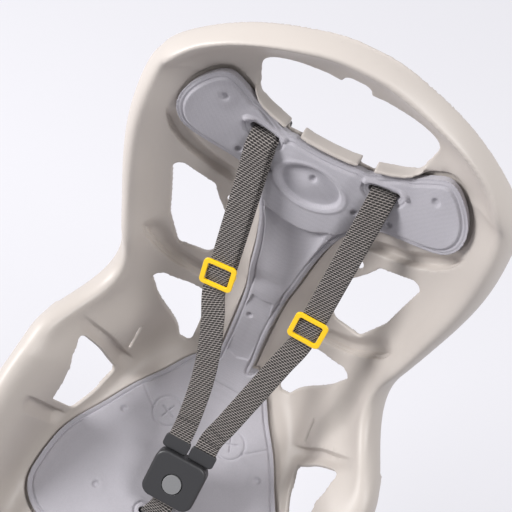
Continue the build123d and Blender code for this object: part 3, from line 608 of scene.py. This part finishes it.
def pad_relief(a, b, dimple):
    """Height of the thermoformed relief on the pad's head part, in metres."""
    height = np.zeros(len(a))
    for tack_a, tack_b, radius in TACKS:
        across = np.abs(a) if tack_a > 0 else a
        height -= dimple * tack_dimple(np.hypot(across - tack_a, b - tack_b), radius)
    ridge, _ = along_line(np.abs(a), b, SLOT_RIDGE)
    height += 3.6 * MM * (1 - smoothstep(1.8, 4.8, np.abs(ridge)))
    oval = np.hypot((a - OVAL_CENTRE[0]) / OVAL_HALF[0], (b - OVAL_CENTRE[1]) / OVAL_HALF[1])
    height -= 4.6 * MM * (1 - smoothstep(0.85, 0.98, oval))
    height += 3.0 * MM * (1 - smoothstep(0, 0.86, oval))
    height += 0.9 * MM * np.exp(-(((oval - 1.08) / 0.07) ** 2))
    return height


def pad_panels(a, b):
    """Depth of the hollow spine panel and of the panel below it, in metres, under the raised head part."""
    half = np.interp(b, [row[1] for row in PANEL_SIDES], [row[0] for row in PANEL_SIDES])
    share = np.clip(np.abs(a + 2) / half, 0, 1)
    hollow = 1 - share**3
    top, _ = along_line(a, b, PANEL_TOP)
    hollow *= smoothstep(0, 3, -top) * smoothstep(PANEL_BOTTOM - 2, PANEL_BOTTOM + 22, b)
    lower, _ = along_line(np.abs(a), b, LOWER_PANEL)
    low_within = smoothstep(0, 2.5, -lower) * (b < 145) * (b > 28)
    brim = np.exp(-(((share - 1) / 0.12) ** 2)) * (b > PANEL_BOTTOM) * (b < 262)
    head = smoothstep(-0.5, 2.5, top)
    return 6.6 * MM * hollow + 1.8 * MM * low_within - 1.0 * MM * brim - 2.2 * MM * head


SLOT_TILT = math.radians(9)
SLOT_TURN = (17, 32)


def turned_slots(a, b):
    """Moves, in millimetres, that turn the pad round its strap slots so that their inner ends lie lower."""
    over, up = np.abs(a) - STRAP_SLOT[0], b - STRAP_SLOT[1]
    turn = SLOT_TILT * (1 - smoothstep(*SLOT_TURN, np.hypot(over, up)))
    across = over * np.cos(turn) - up * np.sin(turn) - over
    rise = over * np.sin(turn) + up * np.cos(turn) - up
    return (np.sign(a) * across)[:, None] * RIGHT + rise[:, None] * UP_BACK


SEAT_TACKS = [(87, 101, 4.4), (70, 190, 4.4)]
SEAT_PLATE = (41, 79, 17.5)
SEAT_CUT = 8.5
SEAT_CUT_TURN = math.radians(21)
SEAT_SEAMS = [[(82, -64), (69, -75), (58, -83)], [(-1, -21), (24, -21.5)]]


def seat_relief(x, y, dimple):
    """Height of the relief on the pad's seat part, in metres."""
    height = np.zeros(len(x))
    for tack_x, tack_y, radius in SEAT_TACKS:
        height -= dimple * tack_dimple(np.hypot(np.abs(x) - tack_x, y + tack_y), radius)
    plate_x, plate_y, size = SEAT_PLATE
    over, along = np.abs(x) - plate_x, y + plate_y
    gap = np.hypot(over, along)
    height -= 1.5 * MM * np.exp(-(((gap - size) / 1.4) ** 2))
    first = np.abs(over * math.cos(SEAT_CUT_TURN) + along * math.sin(SEAT_CUT_TURN))
    second = np.abs(along * math.cos(SEAT_CUT_TURN) - over * math.sin(SEAT_CUT_TURN))
    cross = np.minimum(first, second)
    height -= 1.7 * MM * np.exp(-((cross / 0.9) ** 2)) * (1 - smoothstep(SEAT_CUT, SEAT_CUT + 2, gap))
    for route in SEAT_SEAMS:
        distance, _ = along_line(np.abs(x), y, route)
        height -= 1.4 * MM * np.exp(-((distance / 1.3) ** 2))
    return height


class SEAT_OT_seat_pad(bpy.types.Operator):
    """Thermoformed pad with welded border, tack dimples, oval dish and spine panels"""

    bl_idname = "bike_seat.seat_pad"
    bl_label = "Seat pad"

    def execute(self, context):
        look = settings("seat_pad_look")
        piece = moulding("seat_pad_knit", ["seat_pad"], 0.85 * MM, 26)
        mesh = piece.data
        points = points_of(mesh)
        normals = normals_of(mesh)
        a, b, _ = back_coords(points)
        seat = points / MM - JUNCTION
        ahead, upright = ahead_of(points)
        facing = np.einsum("ij,ij->i", normals, ahead)
        walls = np.flatnonzero(np.abs(facing) < 0.5)
        tree = KDTree(len(walls))
        for index in walls:
            tree.insert(points[index], int(index))
        tree.balance()
        front = smoothstep(0.3, 0.6, facing)
        edge = np.array([tree.find(point)[2] if face > 0 else 0.0 for point, face in zip(points, front)])
        edge = blurred(mesh, edge, 5)
        height = -look.border_drop * (1 - smoothstep(look.border, look.border + 2.5 * MM, edge))
        height -= look.crease * np.exp(-(((edge - look.border) / (1.1 * MM)) ** 2))
        inner = smoothstep(0.3 * look.border, look.border, edge)
        height += (pad_relief(a, b, look.dimple) - pad_panels(a, b)) * upright * inner
        height += seat_relief(seat[:, 0], seat[:, 1], look.dimple) * (1 - upright)
        smooth_normals = np.stack([blurred(mesh, normals[:, axis], 8) for axis in range(3)], 1)
        points += smooth_normals * (height * front)[:, None]
        set_points(mesh, points + turned_slots(a, b) * (b > 0)[:, None] * MM)
        thinned(piece, 168000)
        dress(piece, pad_knit(), "seat", ["seat_pad"])
        return {"FINISHED"}


# Webbing
def on_back(across, up, off):
    return JUNCTION + across * RIGHT + up * UP_BACK + off * OFF_BACK


def smooth_route(points, step):
    """Points at even steps along a smooth curve through a route, the tangent and the length at each."""
    given = np.array(points, float)
    runs = np.linalg.norm(np.diff(given, axis=0), axis=1)[:, None]
    slopes = np.diff(given, axis=0) / runs
    turning = (slopes[:-1] * runs[1:] + slopes[1:] * runs[:-1]) / (runs[:-1] + runs[1:])
    pulls = np.vstack([slopes[:1], turning, slopes[-1:]])
    share = np.linspace(0, 1, 40, endpoint=False)[:, None]
    leaving = 2 * share**3 - 3 * share**2 + 1
    fine = []
    for i, run in enumerate(runs):
        fine.append(
            leaving * given[i]
            + (1 - leaving) * given[i + 1]
            + (share**3 - 2 * share**2 + share) * run * pulls[i]
            + (share**3 - share**2) * run * pulls[i + 1]
        )
    fine = np.vstack([*fine, given[-1:]])
    travel = np.concatenate([[0], np.cumsum(np.linalg.norm(np.diff(fine, axis=0), axis=1))])
    marks = np.linspace(0, travel[-1], int(travel[-1] / step) + 1)
    even = np.stack([np.interp(marks, travel, fine[:, axis]) for axis in range(3)], 1)
    tangents = np.gradient(even, axis=0)
    return even, tangents / np.linalg.norm(tangents, axis=1)[:, None], marks


EDGE_STEPS = 4
TILT_FADE = (30, 150)


def webbing_section(width, thickness):
    """Points of the webbing's cross-section, flat faces with round selvedges: across and out."""
    half = thickness / 2
    flat = width / 2 - half
    points = [(x, half) for x in np.linspace(-flat, flat, 7)]
    turns = math.pi * np.arange(1, EDGE_STEPS) / EDGE_STEPS
    points += [(flat + half * math.sin(turn), half * math.cos(turn)) for turn in turns]
    points += [(x, -half) for x in np.linspace(flat, -flat, 7)]
    points += [(-flat - half * math.sin(turn), -half * math.cos(turn)) for turn in turns]
    return np.array(points)


def strap_frames(route, across, tilt=0.0):
    """Even points along a strap, its directions across and out and the length so far, slanted at first."""
    even, ahead, marks = smooth_route(route, WEAVE_ROW / 4)
    wide = across - ahead * (ahead @ across)[:, None]
    wide /= np.linalg.norm(wide, axis=1)[:, None]
    out = np.cross(wide, ahead)
    slant = tilt * (1 - smoothstep(*TILT_FADE, marks))[:, None]
    return even, wide * np.cos(slant) + ahead * np.sin(slant), out, marks


def strap_mesh(name, routes, across, width, thickness, tilt=0.0):
    """Woven straps along routes in millimetres, with ribs across and a map in metres."""
    section = webbing_section(width, thickness)
    ring = len(section)
    verts, faces, maps = [], [], []
    for route in routes:
        even, wide, out, marks = strap_frames(route, across, tilt)
        ribs = 1 + WEAVE_RISE / (thickness / 2) * np.cos(2 * math.pi * marks / WEAVE_ROW)
        first = len(verts)
        for i, mark in enumerate(marks):
            verts += [tuple((even[i] + wide[i] * x + out[i] * level * ribs[i]) * MM) for x, level in section]
            maps += [((x + width / 2) * MM, mark * MM) for x, _ in section]
        for near in range(first, first + ring * (len(marks) - 1), ring):
            far = near + ring
            for j in range(ring):
                onward = (j + 1) % ring
                faces.append((near + j, near + onward, far + onward, far + j))
        faces.append(tuple(first + j for j in range(ring)))
        faces.append(tuple(len(verts) - 1 - j for j in range(ring)))
    mesh = bpy.data.meshes.new(name)
    mesh.from_pydata(verts, [], faces)
    layer = mesh.uv_layers.new(name="weave")
    loops = np.empty(len(mesh.loops), np.int32)
    mesh.loops.foreach_get("vertex_index", loops)
    layer.data.foreach_set("uv", np.array(maps)[loops].ravel())
    bm = bmesh.new()
    bm.from_mesh(mesh)
    bmesh.ops.recalc_face_normals(bm, faces=bm.faces)
    bm.to_mesh(mesh)
    bm.free()
    return mesh


STRAP_SLOT = (61.0, 344.5)
ANCHOR_FRONT = -15.0
STRAP_POCKET = 9.0
STRAP_PLAY = 0.35
SHELL_FACE = -8.0
ADJUSTER_PLACES = {"left": (-48, 190, 40), "right": (58, 188, 48)}
ADJUSTER_LENGTH = 30.0
ADJUSTER_BULGE = 1.5
LAYER_GAP = 5.8
LAYER_SHIFT = {"left": 3.4, "right": 1.0}
STRAP_BOW = {"left": 9.0, "right": 0.0}
BUCKLE_PLACE = JUNCTION + np.array((6, -152, 37))
BUCKLE_RISE = math.radians(36)
BUCKLE_UP = np.array((0, math.cos(BUCKLE_RISE), math.sin(BUCKLE_RISE)))
BUCKLE_LENGTH = 54.0
TONGUE_AT = 15.5
TONGUE_HEAD = 15.0
CROTCH_SLOT = 190.0
ANCHOR_LOW = -12.35
FOOT_STRAP_WIDTH = 20.0
FOOT_STRAP_RISE = 62.0
FOOT_LEVEL = -305.0
GUARD_MIDDLE = 115.0
FOOT_STRAP_HALF = 35.0
FOOT_STRAP_AT = -260.15


def on_seat(across, ahead, up):
    return JUNCTION + np.array((across, ahead, up))


def in_buckle(across, up):
    return BUCKLE_PLACE + across * RIGHT + up * BUCKLE_UP


def shoulder_routes(name):
    """A shoulder strap from its anchor behind the shell to its tongue, and the doubled length behind it."""
    slot_a, slot_b = SIDES[name] * STRAP_SLOT[0], STRAP_SLOT[1]
    place = on_back(*ADJUSTER_PLACES[name])
    over = on_back(slot_a, slot_b - 8, 8)
    tongue = in_buckle(SIDES[name] * TONGUE_AT, BUCKLE_LENGTH / 2 + TONGUE_HEAD)
    straight = np.linalg.norm(place - over)
    fall = (place - over) / straight
    wide = RIGHT - fall * fall[0]
    front = np.cross(fall, wide / np.linalg.norm(wide))
    deepest = ANCHOR_FRONT - STRAP_POCKET + STRAP_PLAY
    levels = (deepest, ANCHOR_FRONT - STRAP_POCKET / 2, ANCHOR_FRONT, SHELL_FACE)
    route = [on_back(slot_a, slot_b, level) for level in levels]
    route += [on_back(slot_a, slot_b - 2, 3), over]
    route += [over + fall * straight * share for share in (0.2, 0.4, 0.6, 0.8)]
    route += [place - fall * 0.32 * ADJUSTER_LENGTH, place + front * ADJUSTER_BULGE]
    route.append(place + fall * 0.32 * ADJUSTER_LENGTH)
    below = place + fall * 0.6 * ADJUSTER_LENGTH
    entry = tongue + BUCKLE_UP * 0.6 * TONGUE_HEAD
    for share in (0, 0.2, 0.4, 0.6, 0.8, 1):
        route.append(below + (entry - below) * share + RIGHT * STRAP_BOW[name] * math.sin(math.pi * share))
    route += [tongue - BUCKLE_UP * depth for depth in (0, STRAP_POCKET / 2, STRAP_POCKET - STRAP_PLAY)]
    shift = LAYER_SHIFT[name]
    layer = [on_back(slot_a + shift, slot_b - 2.6, level) for level in (SHELL_FACE - 2, -4, 0)]
    layer.append(on_back(slot_a + shift, slot_b - 5, 2.0))
    behind = RIGHT * shift - front * LAYER_GAP
    layer += [over + behind + fall * straight * share for share in (0.04, 0.25, 0.5, 0.75, 1)]
    return route, layer


def crotch_route():
    deepest = ANCHOR_LOW - STRAP_POCKET + STRAP_PLAY
    levels = (ANCHOR_LOW + 4, ANCHOR_LOW, ANCHOR_LOW - STRAP_POCKET / 2, deepest)
    depths = (STRAP_POCKET - STRAP_PLAY, STRAP_POCKET / 2, 0, -5)
    route = [in_buckle(0, depth - BUCKLE_LENGTH / 2) for depth in depths]
    return route + [on_seat(0, -CROTCH_SLOT, level) for level in (1, *levels)]


def foot_strap_route(side):
    shares = ((-1, 0.4), (-0.86, 0.72), (-0.5, 0.94), (0, 1), (0.5, 0.94), (0.86, 0.72), (1, 0.4))
    bow = [(GUARD_MIDDLE + FOOT_STRAP_HALF * x, FOOT_LEVEL + FOOT_STRAP_RISE * z) for x, z in shares]
    ends = [(GUARD_MIDDLE + end * FOOT_STRAP_HALF, FOOT_LEVEL + STRAP_PLAY) for end in (-1, 1)]
    return [on_seat(side * x, FOOT_STRAP_AT, z) for x, z in (ends[0], *bow, ends[1])]


class SEAT_OT_harness(bpy.types.Operator):
    """Woven shoulder, crotch and foot straps"""

    bl_idname = "bike_seat.harness"
    bl_label = "Harness webbing"

    def execute(self, context):
        look = settings("seat_webbing_look")
        width, thickness = look.width / MM, look.thickness / MM
        weave = webbing_weave()
        for name, side in SIDES.items():
            node = f"shoulder_strap_{name}"
            tilt = -side * SLOT_TILT
            mesh = strap_mesh(f"{node}_webbing", shoulder_routes(name), RIGHT, width, thickness, tilt)
            dress(new_object(f"{node}_webbing", mesh), weave, "seat", [node])
            node = f"foot_strap_{name}"
            routes = [foot_strap_route(side)]
            ahead = np.array((0.0, 1.0, 0.0))
            mesh = strap_mesh(f"{node}_webbing", routes, ahead, FOOT_STRAP_WIDTH, thickness)
            dress(new_object(f"{node}_webbing", mesh), weave, f"footrest_{name}", [node])
        mesh = strap_mesh("crotch_strap_webbing", [crotch_route()], RIGHT, width, thickness)
        dress(new_object("crotch_strap_webbing", mesh), weave, "seat", ["crotch_strap"])
        return {"FINISHED"}


# Repeats along lines
def repeat_tree():
    """Small rounded beads repeated along the edges of a mesh, for stitches and treads."""
    if "Beads along lines" in bpy.data.node_groups:
        return bpy.data.node_groups["Beads along lines"]
    group = bpy.data.node_groups.new("Beads along lines", "GeometryNodeTree")
    kinds = [("Geometry", "NodeSocketGeometry"), ("Pitch", "NodeSocketFloat"), ("Size", "NodeSocketVector"),
             ("Material", "NodeSocketMaterial")]
    for label, kind in kinds:
        group.interface.new_socket(name=label, in_out="INPUT", socket_type=kind)
    group.interface.new_socket(name="Geometry", in_out="OUTPUT", socket_type="NodeSocketGeometry")
    tree = Tree(group)
    given, result = tree.add("NodeGroupInput"), tree.add("NodeGroupOutput")
    curve = tree.add("GeometryNodeMeshToCurve")
    places = tree.add("GeometryNodeCurveToPoints", mode="LENGTH")
    ball = tree.add("GeometryNodeMeshUVSphere")
    ball.inputs["Segments"].default_value = 10
    ball.inputs["Rings"].default_value = 8
    ball.inputs["Radius"].default_value = 0.5
    bead = tree.add("GeometryNodeTransform")
    spread = tree.add("GeometryNodeInstanceOnPoints")
    real = tree.add("GeometryNodeRealizeInstances")
    smooth = tree.add("GeometryNodeSetShadeSmooth")
    paint = tree.add("GeometryNodeSetMaterial")
    tree.join(given.outputs["Geometry"], curve.inputs["Mesh"])
    tree.join(curve.outputs["Curve"], places.inputs["Curve"])
    tree.join(given.outputs["Pitch"], places.inputs["Length"])
    tree.join(ball.outputs["Mesh"], bead.inputs["Geometry"])
    tree.join(given.outputs["Size"], bead.inputs["Scale"])
    tree.join(places.outputs["Points"], spread.inputs["Points"])
    tree.join(places.outputs["Rotation"], spread.inputs["Rotation"])
    tree.join(bead.outputs["Geometry"], spread.inputs["Instance"])
    tree.join(spread.outputs["Instances"], real.inputs["Geometry"])
    tree.join(real.outputs["Geometry"], smooth.inputs["Geometry"])
    tree.join(smooth.outputs["Geometry"], paint.inputs["Geometry"])
    tree.join(given.outputs["Material"], paint.inputs["Material"])
    tree.join(paint.outputs["Geometry"], result.inputs["Geometry"])
    return group


def beads_along(name, lines, pitch, size, material):
    """A piece of beads along straight lines given in millimetres."""
    mesh = bpy.data.meshes.new(name)
    ends = [tuple(np.array(end) * MM) for line in lines for end in line]
    mesh.from_pydata(ends, [(i, i + 1) for i in range(0, len(ends), 2)], [])
    piece = new_object(name, mesh)
    modifier = piece.modifiers.new("Beads", "NODES")
    modifier.node_group = repeat_tree()
    values = {"Pitch": pitch * MM, "Size": [side * MM for side in size], "Material": material}
    for item in modifier.node_group.interface.items_tree:
        if item.name in values:
            modifier[item.identifier] = values[item.name]
    return bake_modifiers(piece)


STITCH_PITCH = 2.6
STITCH_SIZE = (0.6, 0.7, 2.1)
STITCH_ROWS = (10.5, 13.5, 22.0, 25.0)
STITCH_HALF = 10.5


class SEAT_OT_stitching(bpy.types.Operator):
    """Rows of stitches where the shoulder straps are sewn into their tongues"""

    bl_idname = "bike_seat.stitching"
    bl_label = "Stitching"

    def execute(self, context):
        look = settings("seat_webbing_look")
        lines = []
        for name in SIDES:
            even, wide, out, marks = strap_frames(shoulder_routes(name)[0], RIGHT)
            for row in STITCH_ROWS:
                i = int(np.searchsorted(marks, marks[-1] - STRAP_POCKET - row))
                centre = even[i] - out[i] * (look.thickness / MM / 2 + 0.12)
                lines.append((centre - wide[i] * STITCH_HALF, centre + wide[i] * STITCH_HALF))
        thread = moulded_plastic("Thread", tuple(look.thread), 0.7, 0.02 * MM)
        piece = beads_along("harness_stitching", lines, STITCH_PITCH, STITCH_SIZE, thread)
        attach(piece, "seat")
        return {"FINISHED"}


# Mouldings and metal
def black_plastic():
    return moulded_plastic("Black plastic", tuple(settings("seat_moulding_look").black), 0.42, 0.06 * MM)


def grey_plastic():
    return moulded_plastic("Grey plastic", tuple(settings("seat_moulding_look").grey), 0.4, 0.04 * MM)


# How far the buttons are drawn in, in millimetres, so that they clear their rounded pockets when pressed
BUTTON_SLACK = 0.5


def moulded_node(node, body, material, voxel, rounds, most, slack=0.0):
    """One CAD node as a soft-edged moulding, drawn in by its slack where it runs in a pocket."""
    piece = moulding(f"{node}_moulding", [node], voxel * MM, rounds)
    mesh = piece.data
    set_points(mesh, points_of(mesh) - normals_of(mesh) * slack * MM)
    thinned(piece, most)
    return dress(piece, material, body, [node])


def metal_node(node, body, material):
    """One CAD node of turned or bent metal, welded and smooth across its curves."""
    piece = new_object(f"{node}_metal", merged_copy([node]))
    return dress(piece, material, body, [node], math.radians(32))


class SEAT_OT_adjusters(bpy.types.Operator):
    """Yellow sliders on the shoulder straps"""

    bl_idname = "bike_seat.adjusters"
    bl_label = "Strap adjusters"

    def execute(self, context):
        look = settings("seat_moulding_look")
        plastic = moulded_plastic("Yellow plastic", tuple(look.yellow), 0.3, 0.02 * MM)
        for name in SIDES:
            body = f"adjuster_{name}"
            moulded_node(f"strap_adjuster_{name}", body, plastic, 0.42, 14, 24000)
        return {"FINISHED"}


class SEAT_OT_buckle(bpy.types.Operator):
    """Buckle with its tongues and button, and the strap anchors"""

    bl_idname = "bike_seat.buckle"
    bl_label = "Buckle"

    def execute(self, context):
        moulded_node("buckle_body", "seat", black_plastic(), 0.5, 5, 34000)
        for name in SIDES:
            moulded_node(f"buckle_tongue_{name}", "seat", black_plastic(), 0.5, 5, 20000)
        moulded_node("strap_anchors", "seat", black_plastic(), 0.6, 4, 18000)
        button = "buckle_button"
        moulded_node(button, button, grey_plastic(), 0.4, 5, 12000, BUTTON_SLACK)
        return {"FINISHED"}


class SEAT_OT_leg_guards(bpy.types.Operator):
    """Leg guards in the shell's plastic"""

    bl_idname = "bike_seat.leg_guards"
    bl_label = "Leg guards"

    def execute(self, context):
        look = settings("seat_moulding_look")
        plastic = moulded_plastic("Bucket plastic", tuple(look.shell), 0.46, 0.05 * MM)
        for name in SIDES:
            moulded_node(f"leg_guard_{name}", "seat", plastic, 1.3, 5, 40000)
        return {"FINISHED"}


TREAD_ROWS = np.linspace(-318, -182, 18)
TREAD_HALF = 28.0
TREAD_LEVEL = -301.0
TREAD_PITCH = 7.0
TREAD_SIZE = (3.0, 1.2, 5.0)


class SEAT_OT_footrests(bpy.types.Operator):
    """Foot rests with treaded soles and their lock buttons"""

    bl_idname = "bike_seat.footrests"
    bl_label = "Foot rests"

    def execute(self, context):
        for name, side in SIDES.items():
            body = f"footrest_{name}"
            moulded_node(f"footrest_{name}", body, black_plastic(), 0.8, 5, 42000)
            lines = []
            for ahead in TREAD_ROWS:
                ends = (side * GUARD_MIDDLE - TREAD_HALF, side * GUARD_MIDDLE + TREAD_HALF)
                lines.append([on_seat(end, ahead, TREAD_LEVEL) for end in ends])
            tread = beads_along(f"footrest_{name}_tread", lines, TREAD_PITCH, TREAD_SIZE, black_plastic())
            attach(tread, body)
            button = f"footrest_button_{name}"
            moulded_node(button, button, grey_plastic(), 0.35, 5, 12000, BUTTON_SLACK)
        return {"FINISHED"}


class SEAT_OT_carrier(bpy.types.Operator):
    """Bent rod with its cradle and clamp plate"""

    bl_idname = "bike_seat.carrier"
    bl_label = "Carrier"

    def execute(self, context):
        look = settings("seat_moulding_look")
        moulded_node("carrier_cradle", "seat", black_plastic(), 1.0, 4, 34000)
        moulded_node("carrier_clamp_plate", "seat", black_plastic(), 1.0, 4, 28000)
        rod = coated_metal("Rod paint", tuple(look.rod), 0.0, 0.38)
        metal_node("carrier_bow", "seat", rod)
        return {"FINISHED"}


class SEAT_OT_frame_block(bpy.types.Operator):
    """Two jaws that clamp the seat tube and the release button"""

    bl_idname = "bike_seat.frame_block"
    bl_label = "Frame block"

    def execute(self, context):
        for node in ("rear_jaw", "front_jaw"):
            moulded_node(node, "frame_block", black_plastic(), 0.8, 4, 34000)
        moulded_node("release_button", "release", grey_plastic(), 0.5, 5, 16000, BUTTON_SLACK)
        return {"FINISHED"}


class SEAT_OT_fasteners(bpy.types.Operator):
    """Bolts, barrel nuts and screws"""

    bl_idname = "bike_seat.fasteners"
    bl_label = "Fasteners"

    def execute(self, context):
        zinc = coated_metal("Zinc plate", tuple(settings("seat_moulding_look").zinc), 1.0, 0.3)
        for node in ("carrier_bolts", "carrier_nuts", "leg_guard_screws"):
            metal_node(node, "seat", zinc)
        metal_node("jaw_bolts", "frame_block", zinc)
        return {"FINISHED"}


# Stage
CAMERA_PLACE = Vector((47, 6, 1100)) * MM
CAMERA_TURN = math.radians(27.44)
CAMERA_ROLL = math.radians(-4.94)
CAMERA_PITCH = math.radians(60)
CAMERA_LENS = 56.25


def camera_axes():
    """The camera's right, up and backward directions in the row frame."""
    level = math.cos(CAMERA_ROLL)
    across = np.array((math.cos(CAMERA_TURN) * level, math.sin(CAMERA_TURN) * level, math.sin(CAMERA_ROLL)))
    sight = np.array((0.0, 0.0, 1.0))
    depth = sight - (sight @ across) * across
    depth /= np.linalg.norm(depth)
    rise = np.cross(across, depth)
    rise *= -np.sign(rise[1])
    back = math.cos(CAMERA_PITCH) * depth + math.sin(CAMERA_PITCH) * rise
    up = -math.sin(CAMERA_PITCH) * depth + math.cos(CAMERA_PITCH) * rise
    turned = np.stack([across, back, up], 1)
    return turned[0], -turned[1], -turned[2]


def area_light(name, place, target, size, power):
    data = bpy.data.lights.new(name, "AREA")
    data.shape = "DISK"
    data.size = size
    data.energy = power
    light = bpy.data.objects.new(name, data)
    light.location = place
    light.rotation_euler = (target - place).to_track_quat("-Z", "Y").to_euler()
    bpy.context.scene.collection.objects.link(light)


FLOOR_HALF = 6.0


class SEAT_OT_stage(bpy.types.Operator):
    """Camera, pale floor, backdrop and soft light"""

    bl_idname = "bike_seat.stage"
    bl_label = "Stage"

    def execute(self, context):
        look = settings("seat_stage_look")
        scene = context.scene
        data = bpy.data.cameras.new("Camera")
        data.lens = CAMERA_LENS
        data.sensor_width = 36
        data.clip_end = 50
        camera = bpy.data.objects.new("Camera", data)
        right, up, backward = camera_axes()
        turn = Matrix((right, up, backward)).transposed()
        camera.matrix_world = Matrix.LocRotScale(CAMERA_PLACE, turn.to_quaternion(), Vector((1, 1, 1)))
        scene.collection.objects.link(camera)
        scene.camera = camera
        scene.view_settings.view_transform = "Standard"

        world = bpy.data.worlds.new("Backdrop")
        world.use_nodes = True
        scene.world = world
        tree = Tree(world.node_tree)
        light = world.node_tree.nodes["Background"]
        light.inputs["Color"].default_value = (1, 1, 1, 1)
        light.inputs["Strength"].default_value = 0.25
        seen = tree.add("ShaderNodeBackground")
        seen.inputs["Color"].default_value = (*look.backdrop, 1)
        rays = tree.add("ShaderNodeLightPath")
        shows = tree.math("MAXIMUM", rays.outputs["Is Camera Ray"], rays.outputs["Is Glossy Ray"])
        shows = tree.math("MAXIMUM", shows, rays.outputs["Is Transmission Ray"])
        mix = tree.add("ShaderNodeMixShader")
        tree.join(shows, mix.inputs["Fac"])
        tree.join(light.outputs["Background"], mix.inputs[1])
        tree.join(seen.outputs["Background"], mix.inputs[2])
        tree.join(mix.outputs["Shader"], world.node_tree.nodes["World Output"].inputs["Surface"])

        floor_level = cad_low.z - 2 * MM
        mesh = bpy.data.meshes.new("floor")
        corners = [(x * FLOOR_HALF, y * FLOOR_HALF) for x, y in ((-1, -1), (1, -1), (1, 1), (-1, 1))]
        mesh.from_pydata([(x, y, floor_level) for x, y in corners], [], [(0, 1, 2, 3)])
        floor = new_object("floor", mesh)
        material, floor_tree, shader = new_material("Floor")
        shader.inputs["Roughness"].default_value = 0.9
        shader.inputs["Emission Color"].default_value = (*look.floor, 1)
        shader.inputs["Emission Strength"].default_value = look.floor_glow
        speckle = noise(floor_tree, floor_tree.add("ShaderNodeTexCoord").outputs["Object"], 3, 2)
        tone = floor_tree.math("ADD", floor_tree.math("MULTIPLY", speckle, 0.02), 0.99)
        lit = [channel * (1 - look.floor_glow) for channel in look.floor]
        floor_tree.join(tinted(floor_tree, lit, tone), shader.inputs["Base Color"])
        mesh.materials.append(material)

        centre = Vector((0, 0.4, 0.4))
        left, rise, near = (Vector(axis) for axis in (-right, up, backward))
        area_light("Key", centre + 1.2 * left + 0.7 * rise + 0.8 * near, centre, 0.6, look.key)
        area_light("Fill", centre - 1.0 * left + 0.5 * rise + 1.4 * near, centre, 0.8, look.fill)
        return {"FINISHED"}


class SEAT_PT_pieces(bpy.types.Panel):
    """Lists the seat's pieces in the sidebar"""

    bl_idname = "SEAT_PT_pieces"
    bl_label = "Child bike seat"
    bl_space_type = "VIEW_3D"
    bl_region_type = "UI"
    bl_category = "Bike Seat"

    def draw(self, context):
        for operator in OPERATORS:
            self.layout.operator(operator.bl_idname)


SETTINGS = {
    "seat_moulding_look": MouldingSettings,
    "seat_pad_look": PadSettings,
    "seat_webbing_look": WebbingSettings,
    "seat_stage_look": StageSettings,
}
OPERATORS = (
    SEAT_OT_stage,
    SEAT_OT_bucket_shell,
    SEAT_OT_seat_pad,
    SEAT_OT_harness,
    SEAT_OT_stitching,
    SEAT_OT_adjusters,
    SEAT_OT_buckle,
    SEAT_OT_leg_guards,
    SEAT_OT_footrests,
    SEAT_OT_carrier,
    SEAT_OT_frame_block,
    SEAT_OT_fasteners,
)


def register():
    for name, group in SETTINGS.items():
        bpy.utils.register_class(group)
        setattr(bpy.types.Scene, name, bpy.props.PointerProperty(type=group))
    for item in (*OPERATORS, SEAT_PT_pieces):
        bpy.utils.register_class(item)


def unregister():
    for item in (SEAT_PT_pieces, *reversed(OPERATORS)):
        bpy.utils.unregister_class(item)
    for name, group in SETTINGS.items():
        delattr(bpy.types.Scene, name)
        bpy.utils.unregister_class(group)


def main():
    register()
    for operator in OPERATORS:
        family, action = operator.bl_idname.split(".")
        getattr(getattr(bpy.ops, family), action)()


if __name__ == "__main__":
    main()
